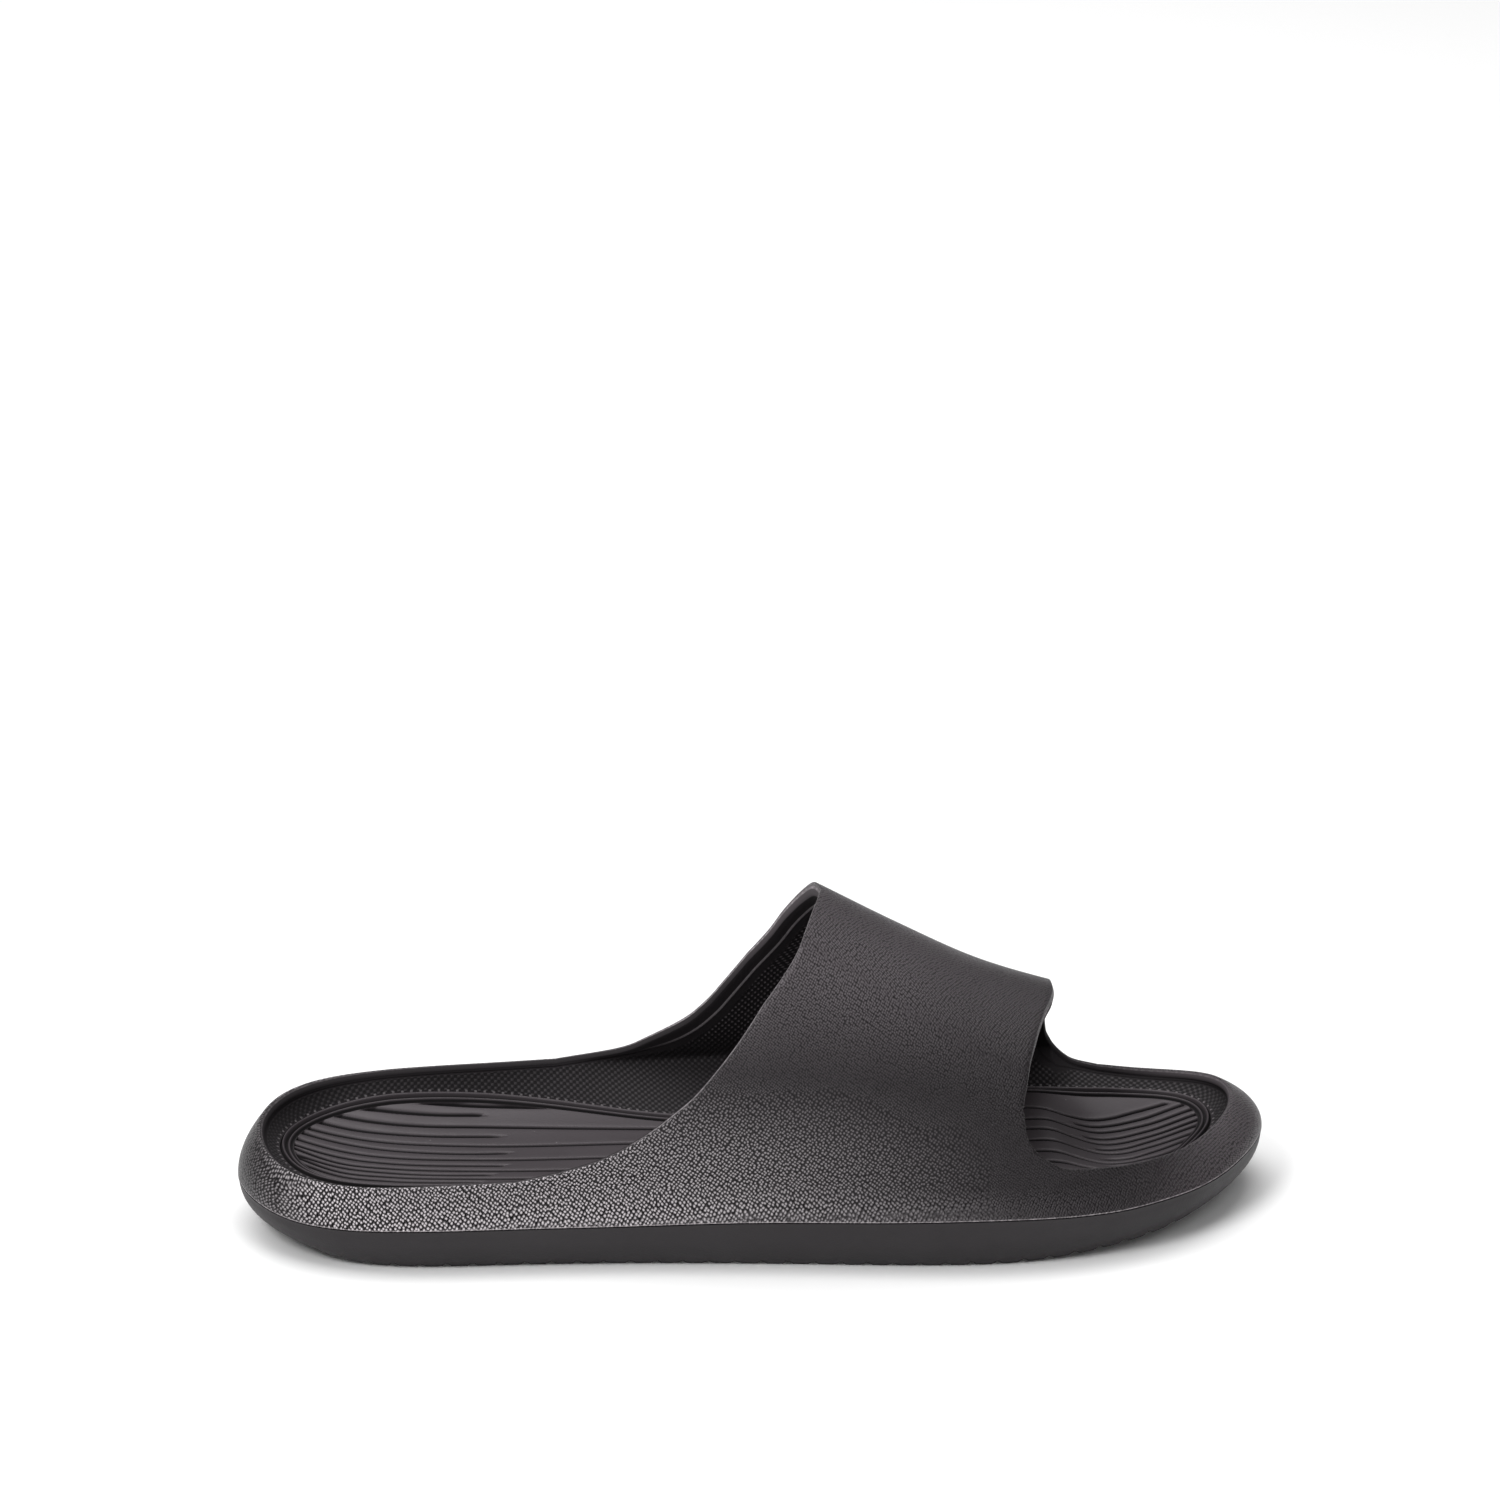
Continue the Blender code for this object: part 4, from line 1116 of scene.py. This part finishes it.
def wear_and_highlight_share(tree, skin, dots, studs):
    """How far each point is made pale, partly by wear and partly as a painted highlight.

    Outside, that is a line on the rim, partly wear and partly a painted highlight, and the thin
    flash over the sole, a painted highlight, both broken into spots; inside, painted highlights
    on the step of the lip and, high under the strap, on the tops of the dots, and the paler studs.
    """
    # Rubbed line on the rim, partly wear and partly a painted highlight, paler high up
    rim = product(
        tree, stripe(tree, skin.edge, RUB_AND_HIGHLIGHT_LINE, *RUB_AND_HIGHLIGHT_BAND),
        ramp(tree, skin.up, RUB_AND_HIGHLIGHT_FROM, RUB_AND_HIGHLIGHT_TO, 0.25, 1.0),
    )
    # Painted highlight along the thin flash over the sole
    flash = ramp(tree, skin.climb, 0.4 * FLASH_HEIGHT, FLASH_HEIGHT, 1.0, 0.0)
    spots = ramp(tree, noise(tree, skin.place, SPOTS, 2.0), 0.40, 0.65, 0.45, 1.0)
    outside = product(tree, combine(tree, "ADD", rim, flash), spots, skin.outside)
    # Painted highlights on the step of the lip and, high under the strap, on the dots
    step = stripe(tree, skin.edge, LINING_LIP, *LIP_STEP)
    lit = ramp(tree, dots, 0.7, 1.0, 0.0, DOT_HIGHLIGHT)
    high = ramp(tree, skin.up, RUB_AND_HIGHLIGHT_FROM, RUB_AND_HIGHLIGHT_TO)
    inside = product(tree, combine(tree, "ADD", step, lit), high, skin.inside)
    lining = combine(tree, "ADD", inside, product(tree, studs, STUD_PALENESS))
    return combine(tree, "ADD", outside, lining)


def grained_foam(sizes, colors):
    """Moulded EVA foam: pebbled leather grain outside, a dotted lining pattern inside.

    The pebbles have glossy tops, so the key light makes a bright point on each; the gaps between
    them are painted dark as shade, and where the grain is crisp the tops get a painted highlight.
    """
    material, tree, shader = new_material("moulded EVA foam, pebble grain")
    skin = Skin(tree)
    # Where the grain is crisp it has more relief and gloss, and its pebble tops a painted highlight
    crisp = product(
        tree, ramp(tree, skin.up, *CRISP_BELOW, 1.0, 0.0),
        ramp(tree, skin.length, *CRISP_BEFORE, 1.0, 0.0), ramp(tree, skin.length, *CRISP_AFTER),
    )
    # Painted sheen high on the strap and at the toe tip
    painted_sheen = combine(
        tree, "MAXIMUM", ramp(tree, skin.up, *SHEEN_ABOVE), ramp(tree, skin.length, *SHEEN_AFTER),
    )
    patches = noise(tree, skin.place, PATCHES, 2.0)
    away = pebble_distance(tree, skin, crisp, patches, sizes)
    grained = ramp(tree, skin.edge, RUB_AND_HIGHLIGHT_LINE, 2.0 * RUB_AND_HIGHLIGHT_LINE)
    dots, lined = lining_dots(tree, skin, sizes)
    studs = stud_row(tree, skin)

    # Relief: domes outside; dots and studs inside, where the lip stands a little proud
    dome = rest(tree, product(tree, away, away, 1.0 / PEBBLE_REACH ** 2))
    relief = product(
        tree, dome, ramp(tree, patches, *NOISE_RANGE, *PATCH_RELIEF),
        ramp(tree, crisp, 0.0, 0.6, SOFT_RELIEF),
        grained, GRAIN_RELIEF,
    )
    lip = ramp(tree, skin.edge, 0.85 * LINING_LIP, 1.15 * LINING_LIP, LIP_RISE, 0.0)
    dot_relief = product(tree, combine(tree, "ADD", dots, studs), LINING_RELIEF)
    lining_relief = combine(tree, "ADD", dot_relief, lip)
    raise_surface(tree, shader, mix(tree, skin.inside, relief, lining_relief))

    # Colour: painted highlights on the pebble tops and painted shade in the gaps between pebbles
    # and between dots, less shade where the grain is soft; a painted sheen high up and at the toe
    least = ramp(tree, painted_sheen, 0.0, 1.0, *LEAST_HIGHLIGHT, smooth=False)
    # Painted highlight on the pebble tops, most where the grain is crisp
    painted_highlight = product(
        tree, combine(tree, "MAXIMUM", crisp, least), grained,
        ramp(tree, away, *HIGHLIGHT_ENDS, 1.0, 0.0), skin.outside,
    )
    tops = product(tree, ramp(tree, away, *TOP_ENDS, 1.0, 0.0), grained)
    raised = mix(
        tree, skin.inside, combine(tree, "ADD", tops, rest(tree, grained)),
        combine(tree, "ADD", dots, rest(tree, lined)),
    )
    # Soft grain gets a little less painted shade in its gaps
    ease = product(tree, ramp(tree, crisp, 0.0, 0.4, SOFT_SHADE_EASE, 0.0), grained)
    unshaded = ramp(tree, combine(tree, "ADD", raised, ease), 0.0, 0.7)
    plain = blend(tree, skin.inside, blend(tree, painted_sheen, colors.foam, colors.painted_sheen), colors.lining)
    # Painted shade: the gaps between pebbles and between dots are painted dark
    painted_gap_shade = tuple(GAP_SHADE * part for part in colors.foam)
    foam = blend(tree, unshaded, painted_gap_shade, blend(tree, painted_highlight, plain, colors.highlighted))
    # Pale marks: wear on the rim line, and painted highlights on edges, flash, lip step and dots
    color = blend(tree, wear_and_highlight_share(tree, skin, dots, studs), foam, colors.dust_wear_and_highlight)

    # Gloss: the pebbles shine most where the grain is crisp; the lining shines on its dots alone
    lining_gloss = ramp(tree, dots, 0.0, 1.0, *LINING_ROUGHNESS, smooth=False)
    grain_gloss = ramp(tree, crisp, 0.0, 1.0, *GRAIN_ROUGHNESS)
    gloss = mix(tree, product(tree, grained, skin.outside), lining_gloss, grain_gloss)
    finish_foam(tree, shader, color, gloss)
    return material


def moulded_skin(name, haze, rise, patches, roughness):
    """A moulded skin: a fine haze of bumps, and a roughness that varies in patches."""
    material, tree, shader = new_material(name)
    place = add_node(tree, "ShaderNodeTexCoord").outputs["Object"]
    raise_surface(tree, shader, product(tree, noise(tree, place, *haze), rise))
    cloud = noise(tree, place, patches, 3.0)
    gloss = ramp(tree, cloud, *NOISE_RANGE, *roughness, smooth=False)
    return material, tree, shader, place, gloss


def satin_foam(colors):
    """Moulded EVA foam with a satin skin: a fine haze, a few dust specks and painted shade in the
    grooves.
    """
    material, tree, shader, place, gloss = moulded_skin(
        "moulded EVA foam, satin skin", *SATIN_SKIN,
    )
    specks = add_node(
        tree, "ShaderNodeTexVoronoi", {"Vector": place, "Scale": DUST_SPECKS, "Randomness": 1.0},
    ).outputs["Distance"]
    dust = ramp(tree, specks, *DUST_ENDS, 0.5, 0.0, smooth=False)
    plain = blend(tree, dust, colors.bed, colors.dust_wear_and_highlight)

    # Painted shade: the grooves and the border's channels are painted dark and made rougher, as
    # little light comes back out of them
    groove = add_node(tree, "ShaderNodeAttribute", attribute_name="groove").outputs["Fac"]
    groove_shade_share = ramp(tree, groove, 0.05, 0.50)
    groove_shade_color = tuple(GROOVE_SHADE * part for part in colors.bed)
    matte = combine(tree, "ADD", gloss, product(tree, groove_shade_share, GROOVE_MATTE))
    finish_foam(tree, shader, blend(tree, groove_shade_share, plain, groove_shade_color), matte)
    return material


def smooth_foam(colors):
    """Moulded EVA foam with a smooth matte skin from a buffed mould."""
    material, tree, shader, _, gloss = moulded_skin(
        "moulded EVA foam, smooth skin", *BAND_SKIN,
    )
    tree.links.new(gloss, shader.inputs["Roughness"])
    shader.inputs["Base Color"].default_value = (*colors.band, 1.0)
    shader.inputs["Specular IOR Level"].default_value = BAND_SHINE
    return material


def stage_material(color):
    """White acrylic table lit from below: it glows a little, so shadows on it stay pale."""
    material, _, shader = new_material("white acrylic light table")
    shader.inputs["Base Color"].default_value = (*color, 1.0)
    shader.inputs["Roughness"].default_value = 0.9
    shader.inputs["Emission Color"].default_value = (*color, 1.0)
    shader.inputs["Emission Strength"].default_value = TABLE_GLOW
    return material


class SANDAL_OT_upper(bpy.types.Operator):
    """Make the moulded upper: a rim wall all round with the strap over the instep"""

    bl_idname = "sandal.upper"
    bl_label = "Upper"

    def execute(self, context):
        scene = context.scene
        sizes = scene.sandal_sizes
        form = Form(sizes)
        lower_outer, lower_inner, feet, upper_outer, upper_inner = {}, {}, {}, {}, {}
        for side in (-1, 1):
            lower_outer[side], lower_inner[side], feet[side] = lower_sheets(form, side)
            upper_outer[side], upper_inner[side] = upper_sheets(form, side)
        outer_loops = opening_loops(lower_outer, upper_outer)
        inner_loops = opening_loops(lower_inner, upper_inner)
        outer_edge = np.concatenate([finer(loop[0], EDGE_PARTS) for loop in outer_loops])
        inner_edge = np.concatenate([finer(loop[0], EDGE_PARTS) for loop in inner_loops])
        first = HEEL_COLUMNS + EDGE_COLUMNS
        sheets = Sheets("edge", "inside", "run", "climb")
        for side in (-1, 1):
            rise = lower_columns(form, side)[1]
            lip = RIM_LIP + (LINING_LIP - RIM_LIP) * smoothstep(rise / LIP_WIDENS)[:, None]
            wall = lower_inner[side]
            run = run_lengths(wall[:, :1], 0)
            pitches = np.round(run[-1] / sizes.lining)
            run = run * pitches * sizes.lining / run[-1]
            climb = run_lengths(wall, 1)
            strap = upper_inner[side]
            strap_run = run[first:first + STRAP_COLUMNS + 1]
            strap_climb = run_lengths(strap, 1) + climb[first:first + STRAP_COLUMNS + 1, -1:]
            sheets.add(
                lower_outer[side], side > 0, climb=run_lengths(lower_outer[side], 1),
                edge=GRAIN_OVER + nearest_distance(lower_outer[side], outer_edge),
            )
            sheets.add(
                upper_outer[side], side > 0, climb=1.0,
                edge=GRAIN_OVER + nearest_distance(upper_outer[side], outer_edge),
            )
            sheets.add(
                wall, side < 0, edge=nearest_distance(wall, inner_edge) * LINING_LIP / lip,
                inside=1.0, run=run, climb=climb,
            )
            sheets.add(
                strap, side < 0, edge=nearest_distance(strap, inner_edge), inside=1.0,
                run=strap_run, climb=strap_climb,
            )
            sheets.add(np.stack((feet[side][:, 0], wall[:, 0]), axis=1), side < 0, inside=1.0)
            base = np.stack((lower_outer[side][:, 0], feet[side][:, 0]), axis=1)
            sheets.add(base, side < 0)
        for (edge, inside), (lining, _) in zip(outer_loops, inner_loops):
            turned = np.linspace(0.0, 1.0, RIM_ROWS + 1)
            over = np.clip(1.0 - 2.0 * turned, 0.0, 1.0)
            sheets.add(
                rim_strip(edge, lining, inside), climb=1.0, edge=GRAIN_OVER * over,
                inside=np.floor(turned),
            )
        upper = sheets.finish("grained_upper", grained_foam(sizes, scene.sandal_colors))
        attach(upper, "root")
        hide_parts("upper")
        return {"FINISHED"}


class SANDAL_OT_footbed(bpy.types.Operator):
    """Make the footbed: a dished panel with long and short grooves and a bead round it"""

    bl_idname = "sandal.footbed"
    bl_label = "Footbed"

    def execute(self, context):
        scene = context.scene
        sizes = scene.sandal_sizes
        form = Form(sizes)
        finder = PlanFinder(form)
        outer, inner = form.stations(np.linspace(0.0, 1.0, BED_STATIONS + 1))
        inset = BEAD_BAND * np.linspace(0.0, 1.0, BEAD_COLUMNS + 1)[None, :]
        bands = []
        seats = []
        for place in (outer, inner):
            ribs = Ribs(form, place[:, None])
            reach = np.minimum(inset, BORDER_LIMIT * (ribs.reach - ribs.ring - SEAT_GAP))
            flat = ribs.points(ribs.ring + SEAT_GAP + reach, 0.0)
            x = flat[..., 0] + 0.5 * sizes.length
            flat[..., 2] = dish_height(form, ribs, x, reach) + bead_height(sizes, reach)
            bands.append(flat)
            seat = flat[:, :1].copy()
            seat[..., 2] = form.parting_height(x[:, :1]) + 0.5 * SEAT_GAP
            seats.append(seat)
        share = np.linspace(0.0, 1.0, PANEL_COLUMNS + 1)[None, 1:-1, None]
        low, high = bands[0][:, -1:], bands[1][:, -1:]
        panel = low + (high - low) * share
        x = panel[..., 0] + 0.5 * sizes.length
        y = panel[..., 1]
        ribs = Ribs(form, finder.rib_places(x, y))
        depth_in = np.hypot(x - ribs.x, y - ribs.y) - ribs.ring - SEAT_GAP
        plain = dish_height(form, ribs, x, depth_in) + bead_height(sizes, depth_in)
        clear = smoothstep((depth_in - BEAD_CHANNEL) / (BEAD_BAND - BEAD_CHANNEL))
        narrow, hollow = groove_shares(sizes, x, y)
        panel[..., 2] = plain - sizes.groove_depth * hollow * clear
        rows = (seats[0], bands[0], panel, bands[1][:, ::-1], seats[1], seats[0])
        # The groove value is the footbed's painted shade: full on its sides, in channels and grooves
        border = np.broadcast_to(channel_share(inset), bands[0].shape[:2])
        middle = np.maximum(narrow * clear, channel_share(depth_in))
        side = np.ones_like(border[:, :1])
        groove = np.concatenate((side, border, middle, border[:, ::-1], side, side), axis=1)
        sheets = Sheets("groove")
        sheets.add(np.concatenate(rows, axis=1), groove=groove)
        footbed = sheets.finish("ribbed_footbed", satin_foam(scene.sandal_colors))
        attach(footbed, "root")
        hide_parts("footbed")
        return {"FINISHED"}


class SANDAL_OT_sole(bpy.types.Operator):
    """Make the sole: a flat seat, a smooth rounded band and a wavy tread across the bottom"""

    bl_idname = "sandal.sole"
    bl_label = "Sole"

    def execute(self, context):
        scene = context.scene
        sizes = scene.sandal_sizes
        form = Form(sizes)
        turn = np.linspace(0.0, np.pi, SOLE_STATIONS + 1)
        share = np.linspace(0.0, 1.0, SOLE_STATIONS + 1)
        share = share + END_CROWDING * (0.5 - 0.5 * np.cos(turn) - share)
        outer, inner = form.stations(share)
        start = TREAD_FROM * sizes.length
        stop = TREAD_TO * sizes.length

        def cut(x, shift):
            """Depth of the tread at x: round grooves at an even pitch, moved by the wave."""
            phase = np.mod((x - shift - start) / sizes.tread_pitch, 1.0) - 0.5
            away = np.abs(phase) * sizes.tread_pitch / (0.5 * TREAD_GROOVE)
            ends = smoothstep((x - start) / TREAD_GROOVE) * smoothstep((stop - x) / TREAD_GROOVE)
            return (1.0 - smoothstep(away - TREAD_FLOOR)) * ends

        sides = []
        for place in (outer, inner):
            ribs = Ribs(form, place[:, None])
            down = 1.0 - np.linspace(1.0, 0.0, BAND_ROWS + 1)[None, :] ** BAND_SPACING
            bottom = form.bottom_height(ribs.ground(BAND_TUCK))
            seat = ribs.parting - 0.5 * SEAT_GAP
            height = seat + (bottom - seat) * down
            ledge = LEDGE * smoothstep((seat - height) / LEDGE_HEIGHT)
            inset = BAND_TUCK * down ** BAND_ROUND
            inset = inset + ledge * (1.0 - down)
            x = ribs.ground(inset)
            notch = smoothstep((down - NOTCH_FROM) / (1.0 - NOTCH_FROM))
            lift = sizes.tread_depth * EDGE_CUT * cut(x, 0.0) * notch
            sides.append(ribs.points(inset, height + lift))
        flat = np.linspace(0.0, 1.0, TREAD_COLUMNS + 1)[1:-1]
        wave = TREAD_WAVE * (1.0 - np.abs(np.mod(2.0 * TREAD_WAVES * flat, 2.0) - 1.0))
        run = sides[1][:, -1:] - sides[0][:, -1:]
        across = sides[0][:, -1:] + run * flat[None, :, None]
        room = smoothstep(run[..., 1] / (0.5 * sizes.heel_width))
        x = across[..., 0] + 0.5 * sizes.length
        depth = sizes.tread_depth * cut(x, wave[None, :] * room)
        fade = smoothstep(np.minimum(flat, 1.0 - flat) / TREAD_FADE)[None, :]
        depth = depth * (EDGE_CUT + (1.0 - EDGE_CUT) * fade)
        across[..., 2] = form.bottom_height(x) + depth
        rows = (sides[0], across, sides[1][:, ::-1], sides[0][:, :1])
        sheets = Sheets()
        sheets.add(np.concatenate(rows, axis=1), True)
        sole = sheets.finish("treaded_sole", smooth_foam(scene.sandal_colors))
        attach(sole, "root")
        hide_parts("sole")
        return {"FINISHED"}


class SANDAL_OT_stage(bpy.types.Operator):
    """Make the plain floor, the soft lights and the camera"""

    bl_idname = "sandal.stage"
    bl_label = "Stage"

    def execute(self, context):
        scene = context.scene
        data = bpy.data.meshes.new("floor")
        around = ((-1, -1), (1, -1), (1, 1), (-1, 1))
        corners = [(x * FLOOR_HALF, y * FLOOR_HALF, 0.0) for x, y in around]
        data.from_pydata(corners, [], [(0, 1, 2, 3)])
        data.materials.append(stage_material(scene.sandal_colors.floor))
        floor = bpy.data.objects.new("floor", data)
        scene.collection.objects.link(floor)
        floor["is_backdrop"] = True

        for name, place, target, size, power in SOFT_BOXES:
            light = bpy.data.lights.new(name, "AREA")
            light.shape = "SQUARE"
            light.size = size
            light.energy = power
            lamp = bpy.data.objects.new(name, light)
            lamp.location = place
            sight = Vector(target) - Vector(place)
            lamp.rotation_euler = sight.to_track_quat("-Z", "Y").to_euler()
            scene.collection.objects.link(lamp)

        world = bpy.data.worlds.new("studio")
        world.use_nodes = True
        sky = world.node_tree.nodes["Background"]
        sky.inputs["Color"].default_value = (1.0, 1.0, 1.0, 1.0)
        sky.inputs["Strength"].default_value = WORLD_STRENGTH
        scene.world = world
        scene.view_settings.view_transform = "Standard"

        view = bpy.data.cameras.new("camera")
        view.lens = CAMERA_LENS
        view.sensor_width = CAMERA_SENSOR
        view.sensor_fit = "HORIZONTAL"
        view.clip_start = 0.05
        view.clip_end = 30.0
        camera = bpy.data.objects.new("camera", view)
        camera.location = CAMERA_PLACE
        camera.rotation_euler = Vector(CAMERA_SIGHT).to_track_quat("-Z", "Y").to_euler()
        scene.collection.objects.link(camera)
        scene.camera = camera
        return {"FINISHED"}


class SANDAL_PT_panel(bpy.types.Panel):
    """Sizes, colours and the steps that build the sandal"""

    bl_idname = "SANDAL_PT_panel"
    bl_label = "Slide Sandal"
    bl_space_type = "VIEW_3D"
    bl_region_type = "UI"
    bl_category = "Sandal"

    def draw(self, context):
        for group in (context.scene.sandal_sizes, context.scene.sandal_colors):
            box = self.layout.box()
            for name in group.__annotations__:
                box.prop(group, name)
        for step in STEPS:
            self.layout.operator(step.bl_idname)


STEPS = (SANDAL_OT_upper, SANDAL_OT_footbed, SANDAL_OT_sole, SANDAL_OT_stage)
CLASSES = (SandalSizes, SandalColors, *STEPS, SANDAL_PT_panel)


def register():
    """Register the classes and give the scene its settings."""
    for item in CLASSES:
        bpy.utils.register_class(item)
    bpy.types.Scene.sandal_sizes = bpy.props.PointerProperty(type=SandalSizes)
    bpy.types.Scene.sandal_colors = bpy.props.PointerProperty(type=SandalColors)


def unregister():
    """Take the settings off the scene and unregister the classes."""
    del bpy.types.Scene.sandal_colors
    del bpy.types.Scene.sandal_sizes
    for item in reversed(CLASSES):
        bpy.utils.unregister_class(item)


def main():
    """Build the sandal and its stage."""
    register()
    bpy.ops.sandal.upper()
    bpy.ops.sandal.footbed()
    bpy.ops.sandal.sole()
    bpy.ops.sandal.stage()


if __name__ == "__main__":
    main()
